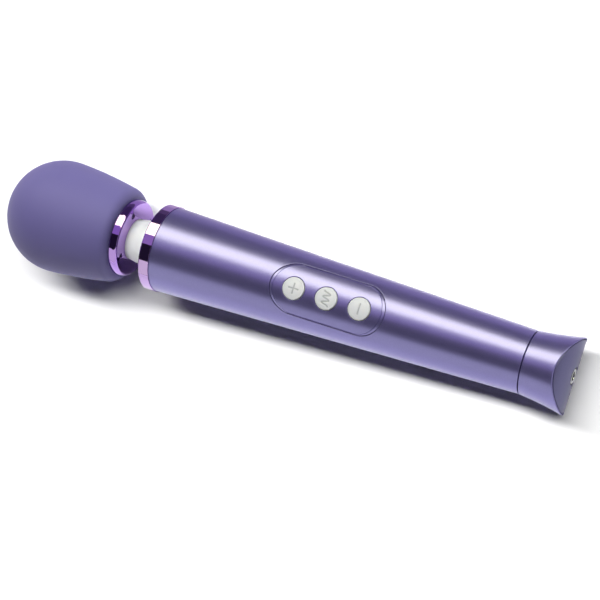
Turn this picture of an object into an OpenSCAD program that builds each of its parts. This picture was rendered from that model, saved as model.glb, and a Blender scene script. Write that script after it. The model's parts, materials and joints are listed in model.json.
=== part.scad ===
// Handheld wand massager. Millimetres. +X runs along the wand from the head to the tail, +Z points out of
// the buttons, and the origin lies on the wand's axis at half its length.

/* [Overall] */
// Length from the tip of the head to the end face of the tail
total_len = 254; // [250:0.5:260]
// Radius of the handle where it meets the ring
handle_r0 = 18.05; // [17.8:0.05:18.3]
// Radius of the handle at the tail seam
handle_r1 = 12.9; // [12.8:0.05:13.4]
// Wall of the handle shell
handle_wall = 1.6; // [1.4:0.1:1.7]

/* [Head] */
// Radius of the ball at the front of the head
ball_r = 24; // [23.6:0.1:24.6]
// Distance from the tip to the shoulder where the head rounds over at its rear
shoulder_len = 52.1; // [51.9:0.1:52.4]
// Radius of the long curve along the side of the head
side_r = 200; // [180:5:260]
// Angle on the ball where the long side curve starts
side_start = 3.5; // [3:0.1:4]
// Radius of the rounding at the rear of the head
rear_r = 4.4; // [4.3:0.1:4.6]
// Thickness of the soft cover
cover_wall = 2.2; // [1.8:0.1:2.2]
// Radius of the screwed flange behind the head
flange_r = 16.5; // [16.4:0.1:17]
// Thickness of the flange outside the cover
flange_t = 3.6; // [3.4:0.1:3.8]
// Distance of the four flange screws from the axis
flange_screw_r = 12.3; // [12.1:0.1:12.4]

/* [Neck and ring] */
// Distance from the tip to the front of the ring
ring_from_tip = 70.8; // [70.5:0.1:72]
// Width of the ring's bright band
ring_w = 4.85; // [4.6:0.05:5.2]
// Radius of the ring's bright band
ring_r = 18.4; // [18.3:0.05:18.8]
// Radius of the soft neck where it leaves the flange
neck_r0 = 8.6; // [8.3:0.1:8.7]
// Radius of the soft neck at its fullest
neck_r1 = 9.7; // [9.3:0.1:9.9]

/* [Controls] */
// Distance from the tip to the middle button
mode_from_tip = 153.4; // [152.5:0.1:154]
// Spacing of the three buttons
button_pitch = 14.2; // [14:0.1:14.5]
// Radius of a button
button_r = 4.6; // [4.5:0.05:4.9]
// Gap around a button
button_gap = 0.25; // [0.25:0.05:0.4]
// Height of a button above the panel
button_lift = 0.35; // [0.2:0.05:0.6]
// Length of the inset panel
panel_len = 49.5; // [48.5:0.5:50.5]
// Half the width of the inset panel
panel_half_w = 10.45; // [10.2:0.05:10.6]

/* [Tail] */
// Length of the tail cap along the axis
cap_len = 18.6; // [18.4:0.1:19]
// Slope of the cap's flare where it starts
flare_slope = 0.09; // [0.07:0.01:0.1]
// How fast the flare steepens
flare_curve = 0.0033; // [0.002:0.0001:0.004]
// Radius of the curved end face
end_face_r = 22; // [21.5:0.5:24]
// Radius of the charge port's mouth
port_r = 2.1; // [2.05:0.05:2.2]

/* [Power] */
// Radius of the rechargeable cell
cell_r = 9.2; // [9:0.1:9.2]
// Length of the rechargeable cell
cell_len = 65; // [60:0.5:65.2]
// Radius of the motor's can
can_r = 11.9; // [11.8:0.05:11.9]
// Radius of the motor's shaft
shaft_r = 1; // [0.9:0.05:1]

/* [Hidden] */

$fn = 96;
fit = 0.05;          // gap left on each side of parts that are assembled snugly
eps = 0.5;           // how far a cut runs past the face it opens

// Stations along X
tip_x = -total_len / 2;
tail_x = total_len / 2;
ball_x = tip_x + ball_r;
shoulder_x = tip_x + shoulder_len;
ring_x0 = tip_x + ring_from_tip;
ring_x1 = ring_x0 + ring_w;
seam_x = tail_x - cap_len;
seam_gap = 0.45;

// Centres of the three tangent curves of the head: ball, side and rear rounding
side_cx = ball_x + (ball_r - side_r) * sin(side_start);
side_cr = (ball_r - side_r) * cos(side_start);
side_end = asin((shoulder_x - side_cx) / side_r);
rear_cx = side_cx + (side_r - rear_r) * sin(side_end);
rear_cr = side_cr + (side_r - rear_r) * cos(side_end);
cover_end_x = rear_cx + rear_r;

// Head: the flange closes the cover, and the parts inside stack forward from it
flange_x0 = cover_end_x + fit;
flange_x1 = flange_x0 + flange_t;
flange_hole_r = neck_r0 + 0.15;
spigot_len = 4.1;
spigot_r = rear_cr - 0.2;
spigot_wall = 1;
lip_t = 1.7;
sleeve_lip_r = 10.5;
clamp_x1 = flange_x0 - lip_t - fit;
clamp_plug_r = 10.4;
clamp_plug_t = 1.8;
clamp_rim_r = 11.4;
clamp_rim_t = 1.2;
lead_hole_r = 3.2;
stub_r = 4.6;
cradle_r = spigot_r - spigot_wall - 0.2;
cradle_wall = 1.2;
cradle_x1 = flange_x0 - fit;
cradle_plate_t = clamp_plug_t + lip_t;
screw_x0 = cradle_x1 - 3;
sink_r = 1.25;
sink_depth = 0.9;

// Motor, forward of the clamp
motor_x1 = tip_x + 47;
motor_len = 26.9;
motor_x0 = motor_x1 - motor_len;
boss_r = 3.1;
boss_len = 1.4;
bush_r = 2;
bush_len = 2.5;
can_wall = 1;
bell_t = 2.4;
core_r = 8.5;
core_x0 = motor_x0 + 5.4;
core_x1 = motor_x0 + 18.4;
coil_r = 7.5;
coil_t = 1.9;
coil_rod_r = 1.6;
coil_rod_at = 5.6;
brush_x0 = motor_x1 - 5;
commutator_r = 2.7;
weight_r = 11.5;
weight_x1 = motor_x0 - 2.6;
weight_t = 8.5;
shaft_x0 = weight_x1 - weight_t - 0.4;
shaft_x1 = motor_x1 + boss_len + 0.4;
running = 0.03;

// Ring, retainer and neck
ring_mouth_r = neck_r1 + 0.6;
ring_front_t = 1.6;
ring_bore_r = 13;
ring_spigot_r = handle_r0 - handle_wall - 0.25;
ring_spigot_x1 = ring_x1 + 2.36;
ring_chamfer = 0.5;
sleeve_r_in = 6.9;
sleeve_rear_lip_r = 12.6;
sleeve_x0 = flange_x0 - lip_t;
sleeve_x1 = ring_x0 + ring_front_t + fit + lip_t;
retainer_x0 = sleeve_x1 + fit;
retainer_x1 = ring_spigot_x1 + fit + 2;
retainer_screw_r = 14.6;
neck_mid_x = tip_x + 65;
core_half_len = 2.8;
spring_r = 5.6;
spring_wire_r = 0.6;
spring_turns = 9;
lead_r = 0.6;
lead_y = 1.4;

// Controls: the boards and buttons stack upward from the cell
button_xs = [for (i = [-1 : 1]) tip_x + mode_from_tip + i * button_pitch];
panel_mid_x = tip_x + mode_from_tip + 0.2;
panel_t = 2.2;
panel_lip_t = 0.55;
panel_lip_w = 1.5;
cell_z = -3.2;
board_z0 = 6.4;
board_t = 1;
board_z1 = board_z0 + board_t;
board_x0 = panel_mid_x - 22.6;
board_x1 = panel_mid_x + 20.4;
board_half_w = 9.8;
switch_w = 6;
switch_z1 = board_z1 + 2.2;
plunger_r = 1.7;
plunger_well = 1.4;
plunger_z1 = switch_z1 + 0.6;
button_lip_r = button_r + 0.85;
button_lip_t = 0.65;
button_stem_r = 2;
board_screw_x = board_x1 - 2.5;
board_screw_y = 7.4;

// Chassis and power
cell_x0 = tip_x + 93;
cell_x1 = cell_x0 + cell_len;
chassis_x0 = retainer_x1 + 3;
chassis_x1 = seam_x - 6.9;
trough_wall = 0.85;
trough_gap = 0.15;
deck_z1 = -2.7;
deck_t = 1.5;
deck_half_w = 9;
wall_x0 = cell_x1 + 1;
wall_x1 = wall_x0 + 2;
charger_x0 = wall_x1 + 16;
charger_x1 = chassis_x1 - 7.5;
charger_z1 = 0.6;
charger_half_w = 7.6;
tail_plate_t = 4.5;
tail_plate_r = 10.9;
tail_screw_y = 7.2;
tail_screw_hole_r = 0.95;

// Tail cap, end plate and charge port
cap_x0 = seam_x + seam_gap;
cap_spigot_r = handle_r1 - handle_wall - 0.2;
cap_spigot_x0 = cap_x0 - 6.6;
cap_wall = 1.6;
cap_web_t = 2;
groove_x0 = cap_spigot_x0 + 2;
groove_w = 1.5;
groove_depth = 0.9;
seal_r = 0.55;
rim_wall = 0.45;
plate_gap = 0.4;
plate_t = 1.6;
end_face_cx = tail_x - end_face_r;
port_hole_r = port_r + 1.74;
port_housing_r = port_r + 1.6;
port_sleeve_r = port_r + 0.97;
port_x1 = tail_x - 0.3;
port_mouth_len = 2.5;
port_well_x0 = tail_x - 9;
port_flange_x0 = cap_x0 + cap_web_t + fit;
port_flange_t = 1.3;
pin_r = 0.82;
pin_x1 = port_x1 - port_mouth_len - 0.7;

// Colours
purple_soft = [0.36, 0.33, 0.55];
purple_metal = [0.42, 0.38, 0.62];
purple_mirror = [0.45, 0.30, 0.68];
white_soft = [0.90, 0.91, 0.90];
black_plastic = [0.10, 0.10, 0.11];
steel = [0.72, 0.73, 0.75];
copper = [0.80, 0.48, 0.28];
board_green = [0.10, 0.32, 0.20];

// ---------------------------------------------------------------- outlines and shared shapes

function handle_radius(x) = handle_r0 + (handle_r1 - handle_r0) * (x - ring_x1) / (seam_x - ring_x1);

function flare_radius(x) = handle_r1 + flare_slope * (x - seam_x) + flare_curve * pow(x - seam_x, 2);

// Points [x, radius] on an arc about [cx, cr], with angles measured from straight out towards +X
function arc(cx, cr, r, a0, a1, steps) = [
    for (i = [0 : steps])
        let (a = a0 + (a1 - a0) * i / steps)
        [cx + r * sin(a), cr + r * cos(a)]
];

// Outline of the head at a depth below its surface, from the tip to the rear
function head_outline(depth) = concat(
    arc(ball_x, 0, ball_r - depth, -90, side_start, 24),
    [for (p = arc(side_cx, side_cr, side_r - depth, side_start, side_end, 8)) if (p[0] > ball_x + 2) p],
    [for (p = arc(rear_cx, rear_cr, rear_r - depth, side_end, 90, 8)) if (p[0] > rear_cx) p]
);

// Flared outline of the tail cap at a depth below its surface
function cap_outline(depth, x0) = [
    for (i = [0 : 12])
        let (x = x0 + (tail_x + eps - x0) * i / 12)
        [x, flare_radius(x) - depth]
];

function reversed(list) = [for (i = [len(list) - 1 : -1 : 0]) list[i]];

// Solid turned about the X axis from an outline of [x, radius] points
module turned(outline) {
    rotate([0, 90, 0])
        rotate_extrude()
            polygon([for (p = outline) [p[1], p[0]]]);
}

module rod(x0, x1, r) {
    turned([[x0, 0], [x0, r], [x1, r], [x1, 0]]);
}

module tube(x0, x1, r_out, r_in) {
    turned([[x0, r_in], [x0, r_out], [x1, r_out], [x1, r_in]]);
}

// Round bar standing along Z
module post(x, y, z0, z1, r) {
    translate([x, y, z0])
        cylinder(h = z1 - z0, r = r);
}

module block(x0, x1, y0, y1, z0, z1) {
    translate([x0, y0, z0])
        cube([x1 - x0, y1 - y0, z1 - z0]);
}

// Places its children at four angles about the axis, 45 degrees off the buttons
module at_flange_screws() {
    for (a = [45 : 90 : 315])
        rotate([a, 0, 0])
            translate([0, 0, flange_screw_r])
                children();
}

module at_retainer_screws() {
    for (a = [0 : 120 : 240])
        rotate([a, 0, 0])
            translate([0, 0, retainer_screw_r])
                children();
}

// Both sides of the wand, left and right of the buttons
module both_sides() {
    children();
    mirror([0, 1, 0])
        children();
}

// Round-ended slab over the panel, grown by a margin and standing along Z
module panel_slab(grow) {
    half_w = panel_half_w + grow;
    reach = panel_len / 2 - panel_half_w;
    height = handle_r0 + 2;
    post(panel_mid_x - reach, 0, 2, height, half_w);
    post(panel_mid_x + reach, 0, 2, height, half_w);
    block(panel_mid_x - reach, panel_mid_x + reach, -half_w, half_w, 2, height);
}

// Tapered tube that follows the handle's surface between two depths below it
module handle_layer(x0, x1, depth_out, depth_in) {
    turned([
        [x0, handle_radius(x0) - depth_in],
        [x0, handle_radius(x0) - depth_out],
        [x1, handle_radius(x1) - depth_out],
        [x1, handle_radius(x1) - depth_in]
    ]);
}

// Round bar across the wand whose surface is the end face, at a depth below it
module end_barrel(depth) {
    translate([end_face_cx, -2 * handle_r0, 0])
        rotate([-90, 0, 0])
            cylinder(h = 4 * handle_r0, r = end_face_r - depth);
}

// Point on the smooth curve between points[i] and points[i + 1], t from 0 to 1
function curve_point(points, i, t) =
    let (
        last = len(points) - 1,
        a = points[max(i - 1, 0)],
        b = points[i],
        c = points[i + 1],
        d = points[min(i + 2, last)]
    )
    0.5 * (2 * b + (c - a) * t + (2 * a - 5 * b + 4 * c - d) * t * t + (3 * b - a - 3 * c + d) * t * t * t);

function unit(v) = v / norm(v);

// Insulated lead: a round wire swept along a smooth curve through a list of points
module lead(points, r) {
    sides = 8;
    steps = 4;
    last = len(points) - 1;
    path = concat(
        [for (i = [0 : last - 1], k = [0 : steps - 1]) curve_point(points, i, k / steps)],
        [points[last]]
    );
    rings = len(path) - 1;
    corners = [
        for (i = [0 : rings])
            let (
                run = unit(path[min(i + 1, rings)] - path[max(i - 1, 0)]),
                across = unit(cross([0, 0, 1], run)),
                up = cross(run, across)
            )
            for (k = [0 : sides - 1])
                path[i] + r * (across * cos(360 * k / sides) + up * sin(360 * k / sides))
    ];
    side_faces = [
        for (i = [0 : rings - 1], k = [0 : sides - 1])
            let (n = (k + 1) % sides)
            [i * sides + k, (i + 1) * sides + k, (i + 1) * sides + n, i * sides + n]
    ];
    first_cap = [for (k = [0 : sides - 1]) k];
    last_cap = [for (k = [sides - 1 : -1 : 0]) rings * sides + k];
    polyhedron(corners, concat(side_faces, [first_cap, last_cap]));
}

// ---------------------------------------------------------------- head

module head_cover() {
    color(purple_soft)
        turned(concat(head_outline(0), reversed(head_outline(cover_wall))));
}

module head_shell() {
    shell_wall = rear_r - cover_wall - 0.2;
    color(black_plastic)
        turned(concat(
            head_outline(cover_wall + fit),
            reversed(head_outline(cover_wall + fit + shell_wall))
        ));
}

module head_flange() {
    bevel_x = 2.2;
    bevel_r = 1.3;
    color(purple_mirror)
        difference() {
            turned(concat(
                [[flange_x0, flange_hole_r], [flange_x0, spigot_r - spigot_wall]],
                [[flange_x0 - spigot_len, spigot_r - spigot_wall], [flange_x0 - spigot_len, spigot_r]],
                [[flange_x0, spigot_r], [flange_x0, flange_r - 0.15], [flange_x0 + 0.3, flange_r]],
                [
                    for (a = [0 : 15 : 90])
                        [flange_x1 - bevel_x * (1 - sin(a)), flange_r - bevel_r * (1 - cos(a))]
                ],
                [[flange_x1, flange_hole_r]]
            ));
            at_flange_screws() {
                rod(flange_x0 - eps, flange_x1 + eps, 0.9);
                rod(flange_x1 - sink_depth, flange_x1 + eps, sink_r);
            }
        }
}

module head_screws() {
    color(steel)
        at_flange_screws()
            difference() {
                union() {
                    rod(flange_x1 - sink_depth, flange_x1 - 0.25, sink_r - 0.1);
                    rod(screw_x0 + 0.3, flange_x1 - sink_depth, 0.8);
                }
                rotate([0, 90, 0])
                    translate([0, 0, flange_x1 - 0.6])
                        cylinder(h = 1, r = 0.55, $fn = 6);
            }
}

module motor_cradle() {
    fin_r = spigot_r - 0.1;
    color(black_plastic)
        difference() {
            union() {
                tube(motor_x0 + 2.9, cradle_x1, cradle_r, cradle_r - cradle_wall);
                tube(cradle_x1 - cradle_plate_t, cradle_x1, cradle_r, clamp_plug_r + 0.2);
                for (a = [0 : 90 : 270])
                    rotate([a, 0, 0])
                        block(motor_x0 + 6, flange_x0 - spigot_len - 0.8, -0.8, 0.8, cradle_r - 0.5, fin_r);
            }
            at_flange_screws()
                rod(screw_x0, cradle_x1 + eps, 0.85);
        }
}

module motor_sleeve() {
    color([0.2, 0.2, 0.21])
        tube(motor_x0 + 3, motor_x1 - 1, cradle_r - cradle_wall - fit, can_r + fit);
}

module motor_can() {
    color(steel)
        turned([
            [motor_x0 - 1.5, bush_r + 0.02],
            [motor_x0 - 1.5, boss_r],
            [motor_x0, boss_r],
            [motor_x0, can_r - 0.6],
            [motor_x0 + 0.6, can_r],
            [motor_x1 - 0.6, can_r],
            [motor_x1 - 0.6, can_r - can_wall],
            [motor_x0 + can_wall, can_r - can_wall],
            [motor_x0 + can_wall, bush_r + 0.02]
        ]);
}

module motor_end_bell() {
    color(black_plastic)
        turned([
            [motor_x1 - bell_t, bush_r + 0.02],
            [motor_x1 - bell_t, can_r - can_wall - fit],
            [motor_x1, can_r - can_wall - fit],
            [motor_x1, boss_r],
            [motor_x1 + boss_len, boss_r],
            [motor_x1 + boss_len, bush_r + 0.02]
        ]);
}

module field_magnets() {
    half_gap = 3.2;
    color([0.25, 0.25, 0.27])
        difference() {
            tube(core_x0 - 1, core_x1 + 1, can_r - can_wall - 0.08, core_r + 0.6);
            block(core_x0 - 2, core_x1 + 2, -can_r, can_r, -half_gap, half_gap);
        }
}

module motor_bushes() {
    color([0.66, 0.52, 0.32]) {
        tube(motor_x0 - 1.5, motor_x0 - 1.5 + bush_len, bush_r, shaft_r + running);
        tube(motor_x1 + boss_len - bush_len, motor_x1 + boss_len, bush_r, shaft_r + running);
    }
}

module motor_brushes() {
    arm_y = commutator_r + 1.8;
    color(copper)
        both_sides() {
            block(brush_x0, brush_x0 + 1.6, commutator_r + 0.3, arm_y, -0.8, 0.8);
            block(brush_x0, motor_x1 - bell_t - fit, arm_y, arm_y + 0.35, -0.8, 0.8);
            block(motor_x1 + fit, motor_x1 + 1.7, 5.5, 7.5, -0.25, 0.25);
        }
}

module neck_clamp() {
    plug_x0 = clamp_x1 - clamp_plug_t;
    color(black_plastic)
        turned([
            [plug_x0 - clamp_rim_t, lead_hole_r],
            [plug_x0 - clamp_rim_t, clamp_rim_r],
            [plug_x0, clamp_rim_r],
            [plug_x0, clamp_plug_r],
            [clamp_x1, clamp_plug_r],
            [clamp_x1, stub_r],
            [clamp_x1 + 5.1, stub_r],
            [clamp_x1 + 5.1, lead_hole_r]
        ]);
}

module head_leads() {
    color("firebrick")
        both_sides()
            lead([
                [motor_x1 + 2.4, 6.3, 0],
                [motor_x1 + 2.7, 5, 0],
                [motor_x1 + 3.2, 2.4, 0],
                [motor_x1 + 4.2, lead_y, 0],
                [flange_x0, lead_y, 0]
            ], lead_r);
}

// ---------------------------------------------------------------- rotor

module rotor_shaft() {
    color(steel)
        turned([
            [shaft_x0, 0], [shaft_x0, shaft_r - 0.2], [shaft_x0 + 0.2, shaft_r],
            [shaft_x1 - 0.2, shaft_r], [shaft_x1, shaft_r - 0.2], [shaft_x1, 0]
        ]);
}

module armature_core() {
    slot_w = 1.4;
    color([0.45, 0.45, 0.47])
        difference() {
            tube(core_x0, core_x1, core_r, shaft_r + 0.02);
            for (a = [0 : 120 : 240])
                rotate([a, 0, 0]) {
                    block(core_x0 - 1, core_x1 + 1, -slot_w / 2, slot_w / 2, coil_rod_at, core_r + 1);
                    translate([0, 0, coil_rod_at])
                        rod(core_x0 - 1, core_x1 + 1, coil_rod_r + 0.2);
                }
        }
}

module armature_windings() {
    color(copper) {
        tube(core_x0 - coil_t - 0.1, core_x0 - 0.1, coil_r, shaft_r + 2);
        tube(core_x1 + 0.1, core_x1 + coil_t + 0.1, coil_r, shaft_r + 2);
        for (a = [0 : 120 : 240])
            rotate([a, 0, 0])
                translate([0, 0, coil_rod_at])
                    rod(core_x0 - 1, core_x1 + 1, coil_rod_r);
    }
}

module commutator() {
    color(copper)
        difference() {
            tube(brush_x0 - 0.8, brush_x0 + 2, commutator_r, shaft_r + 0.02);
            for (a = [60 : 120 : 300])
                rotate([a, 0, 0])
                    block(brush_x0 - 1, brush_x0 + 1.6, -0.15, 0.15, commutator_r - 0.6, commutator_r + 1);
        }
}

module eccentric_weight() {
    color(steel)
        difference() {
            union() {
                rod(weight_x1 - weight_t, weight_x1, 3);
                intersection() {
                    rod(weight_x1 - weight_t, weight_x1, weight_r);
                    block(weight_x1 - weight_t, weight_x1, -weight_r, weight_r, -weight_r, 0);
                }
            }
            rod(weight_x1 - weight_t - eps, weight_x1 + eps, shaft_r + 0.02);
        }
}

// ---------------------------------------------------------------- neck

module neck_sleeve() {
    lip_x1 = flange_x0 - fit;
    rear_lip_x0 = ring_x0 + ring_front_t + fit;
    color(white_soft)
        turned(concat(
            [[sleeve_x0, sleeve_r_in], [sleeve_x0, sleeve_lip_r - 0.1]],
            [[lip_x1, sleeve_lip_r - 0.1], [lip_x1, neck_r0], [flange_x1, neck_r0]],
            [
                for (i = [1 : 8])
                    [
                        flange_x1 + (ring_x0 - flange_x1) * i / 8,
                        neck_r0 + (neck_r1 - neck_r0) * sin(i * 15)
                    ]
            ],
            [[rear_lip_x0, neck_r1 - 0.15], [rear_lip_x0, sleeve_rear_lip_r]],
            [[sleeve_x1, sleeve_rear_lip_r], [sleeve_x1, sleeve_r_in]]
        ));
}

// Helical wire, swept as rings of points along the coil
module neck_spring() {
    sides = 6;
    per_turn = 14;
    rings = spring_turns * per_turn;
    x0 = clamp_x1 + spring_wire_r + 0.1;
    x1 = retainer_x0 - spring_wire_r - 0.1;
    points = [
        for (i = [0 : rings], k = [0 : sides - 1])
            let (a = 360 * i / per_turn, b = 360 * k / sides, r = spring_r + spring_wire_r * cos(b))
            [x0 + (x1 - x0) * i / rings + spring_wire_r * sin(b), r * cos(a), r * sin(a)]
    ];
    side_faces = [
        for (i = [0 : rings - 1], k = [0 : sides - 1])
            let (n = (k + 1) % sides)
            [i * sides + k, (i + 1) * sides + k, (i + 1) * sides + n, i * sides + n]
    ];
    first_cap = [for (k = [0 : sides - 1]) k];
    last_cap = [for (k = [sides - 1 : -1 : 0]) rings * sides + k];
    color(steel)
        polyhedron(points, concat(side_faces, [first_cap, last_cap]));
}

module neck_core() {
    color(white_soft)
        tube(neck_mid_x - core_half_len, neck_mid_x + core_half_len, stub_r - 0.2, lead_hole_r - 0.2);
}

module neck_leads() {
    color("firebrick")
        both_sides()
            translate([0, lead_y, 0])
                rod(flange_x0 + 0.1, ring_x0 + ring_front_t - 0.1, lead_r);
}

// ---------------------------------------------------------------- ring

module front_ring() {
    bore_x0 = ring_x0 + ring_front_t;
    color(purple_mirror)
        difference() {
            turned([
                [ring_x0, ring_mouth_r],
                [ring_x0, ring_r - ring_chamfer],
                [ring_x0 + ring_chamfer, ring_r],
                [ring_x1 - 0.15, ring_r],
                [ring_x1, ring_r - 0.15],
                [ring_x1, ring_spigot_r],
                [ring_spigot_x1, ring_spigot_r],
                [ring_spigot_x1, ring_bore_r],
                [bore_x0, ring_bore_r],
                [bore_x0, ring_mouth_r]
            ]);
            at_retainer_screws()
                rod(bore_x0 + 0.4, ring_spigot_x1 + eps, 0.8);
        }
}

module neck_retainer() {
    flange_x = ring_spigot_x1 + fit;
    color(black_plastic)
        difference() {
            turned([
                [retainer_x0 - 3.75, lead_hole_r],
                [retainer_x0 - 3.75, stub_r],
                [retainer_x0, stub_r],
                [retainer_x0, ring_bore_r - 0.15],
                [flange_x, ring_bore_r - 0.15],
                [flange_x, ring_spigot_r - 0.05],
                [retainer_x1, ring_spigot_r - 0.05],
                [retainer_x1, lead_hole_r]
            ]);
            at_retainer_screws()
                rod(flange_x - eps, retainer_x1 + eps, 0.9);
        }
}

module retainer_screws() {
    color(steel)
        at_retainer_screws() {
            rod(ring_x0 + ring_front_t + 0.7, retainer_x1 + 0.1, 0.75);
            rod(retainer_x1 + fit, retainer_x1 + 1.1, 1.4);
        }
}

// ---------------------------------------------------------------- handle and controls

module handle_shell() {
    color(purple_metal)
        difference() {
            handle_layer(ring_x1 + fit, seam_x, 0, handle_wall);
            panel_slab(0);
        }
}

module control_panel() {
    lip_len = panel_len / 2 + panel_lip_w + 1;
    color(purple_metal)
        difference() {
            union() {
                intersection() {
                    handle_layer(panel_mid_x - lip_len, panel_mid_x + lip_len, 0, panel_t);
                    panel_slab(-0.15);
                }
                intersection() {
                    handle_layer(
                        panel_mid_x - lip_len, panel_mid_x + lip_len, panel_t - panel_lip_t, panel_t
                    );
                    panel_slab(panel_lip_w);
                }
            }
            for (x = button_xs)
                post(x, 0, 2, handle_r0 + 2, button_r + button_gap);
        }
}

// Underside of the panel above a circle of radius r at station x
function panel_under(x, r) = sqrt(pow(handle_radius(x + r) - panel_t, 2) - r * r);

// Button body with its retaining lip and stem; its top follows the handle's curve
module button_blank(x) {
    lip_z1 = panel_under(x, button_lip_r) - 0.12;
    post(x, 0, plunger_z1, lip_z1 - button_lip_t + 0.1, button_stem_r);
    post(x, 0, lip_z1 - button_lip_t, lip_z1, button_lip_r);
    intersection() {
        post(x, 0, lip_z1 - 0.2, handle_r0 + 2, button_r);
        handle_layer(x - 6, x + 6, -button_lift, 8);
    }
}

// Sunken mark of a button: bars are [x0, x1, y0, y1] about the button's centre
module button_mark(x, bars) {
    top = handle_radius(x) + button_lift;
    for (b = bars)
        block(x + b[0], x + b[1], b[2], b[3], top - 0.3, top + 1);
}

module button_plus() {
    x = button_xs[0];
    color(white_soft)
        difference() {
            button_blank(x);
            button_mark(x, [[-2, 2, -0.25, 0.25], [-0.25, 0.25, -2, 2]]);
        }
}

module button_mode() {
    x = button_xs[1];
    wave = [for (i = [-2 : 2]) [-1.3 + 0.5 * (i % 2), 1.3 - 0.5 * (i % 2), i - 0.2, i + 0.2]];
    color(white_soft)
        difference() {
            button_blank(x);
            button_mark(x, wave);
        }
}

module button_minus() {
    x = button_xs[2];
    color(white_soft)
        difference() {
            button_blank(x);
            button_mark(x, [[-0.25, 0.25, -2, 2]]);
        }
}

module plunger(x) {
    color(black_plastic)
        post(x, 0, switch_z1 - 0.7, plunger_z1 - 0.01, plunger_r);
}

module plunger_plus() {
    plunger(button_xs[0]);
}

module plunger_mode() {
    plunger(button_xs[1]);
}

module plunger_minus() {
    plunger(button_xs[2]);
}

module switch_bodies() {
    half_w = switch_w / 2;
    color(steel)
        for (x = button_xs)
            difference() {
                block(x - half_w, x + half_w, -half_w, half_w, board_z1, switch_z1);
                post(x, 0, switch_z1 - plunger_well, switch_z1 + eps, plunger_r + 0.15);
            }
}

module control_board() {
    color(board_green)
        difference() {
            block(board_x0, board_x1, -board_half_w, board_half_w, board_z0, board_z1);
            both_sides()
                post(board_screw_x, board_screw_y, board_z0 - eps, board_z1 + eps, 0.95);
        }
}

module control_chips() {
    x = button_xs[0] + button_pitch / 2;
    color(black_plastic) {
        block(x - 2, x + 2, 4, 8, board_z1, board_z1 + 0.9);
        block(x - 1.5, x + 1.5, -7.5, -4.5, board_z1, board_z1 + 1.1);
        block(x + button_pitch - 1, x + button_pitch + 1, 4, 7, board_z1, board_z1 + 0.7);
        block(x + button_pitch - 2, x + button_pitch + 1.5, -8, -5, board_z1, board_z1 + 0.9);
        both_sides()
            for (i = [0 : 4])
                block(x + i * 3 + 3.2, x + i * 3 + 4.2, 8.4, 9, board_z1, board_z1 + 0.5);
    }
}

module board_screws() {
    color(steel)
        both_sides() {
            post(board_screw_x, board_screw_y, board_z1 + fit, board_z1 + 1, 1.6);
            post(board_screw_x, board_screw_y, board_z0 - 5, board_z1 + 0.1, 0.75);
        }
}

// ---------------------------------------------------------------- chassis and power

module chassis() {
    trough_r_in = cell_r + trough_gap;
    trough_r = trough_r_in + trough_wall;
    color(black_plastic)
        difference() {
            union() {
                rod(chassis_x0, chassis_x0 + 1.6, ring_spigot_r - 0.5);
                intersection() {
                    translate([0, 0, cell_z])
                        rod(chassis_x0, wall_x1, trough_r);
                    block(chassis_x0, wall_x1, -trough_r, trough_r, cell_z - trough_r, cell_z);
                }
                intersection() {
                    rod(wall_x0, wall_x1, handle_radius(wall_x1) - panel_t - 0.4);
                    block(wall_x0, wall_x1, -20, 20, -20, board_z0 - 0.6);
                }
                block(wall_x0, chassis_x1, -deck_half_w, deck_half_w, deck_z1 - deck_t, deck_z1);
                for (x = [charger_x0 + 2, charger_x1 - 4])
                    block(x, x + 2, -charger_half_w, charger_half_w, deck_z1 - 0.1, charger_z1 - 1.2);
                both_sides() {
                    block(board_x0 + 1, board_x0 + 4, trough_r_in + 0.05, trough_r, cell_z - 0.1, board_z0);
                    block(board_screw_x - 2.3, board_screw_x + 2.3, 5.4, 9.4, deck_z1 - 0.1, board_z0);
                }
                rod(chassis_x1 - tail_plate_t, chassis_x1, tail_plate_r);
            }
            translate([0, 0, cell_z])
                rod(chassis_x0 + 1.6, wall_x0, trough_r_in);
            rod(chassis_x0 - eps, chassis_x0 + 2, 4);
            translate([0, 0, cell_z])
                rod(wall_x0 - eps, wall_x1 + eps, 4.5);
            translate([0, 8, 3.4])
                rod(wall_x0 - eps, wall_x1 + eps, 1.1);
            rod(chassis_x1 - tail_plate_t - eps, chassis_x1 + eps, 4.5);
            both_sides() {
                translate([0, tail_screw_y, 0])
                    rod(chassis_x1 - tail_plate_t - eps, chassis_x1 + eps, tail_screw_hole_r);
                post(board_screw_x, board_screw_y, board_z0 - 5.4, board_z0 + eps, 0.8);
            }
        }
}

module battery_cell() {
    color([0.20, 0.42, 0.62])
        translate([0, 0, cell_z])
            union() {
                turned([
                    [cell_x0 + 0.3, 0], [cell_x0 + 0.3, cell_r - 0.8], [cell_x0 + 1, cell_r],
                    [cell_x1 - 1, cell_r], [cell_x1 - 0.5, cell_r - 0.6], [cell_x1 - 0.5, 0]
                ]);
                rod(cell_x1 - 1, cell_x1, 2.9);
            }
}

module battery_tabs() {
    color(steel)
        translate([0, 0, cell_z]) {
            block(cell_x0 + 0.05, cell_x0 + 0.25, -2.5, 2.5, -6, 6);
            block(cell_x1 + 0.05, cell_x1 + 0.25, -2.5, 2.5, -4, 4);
        }
}

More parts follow.
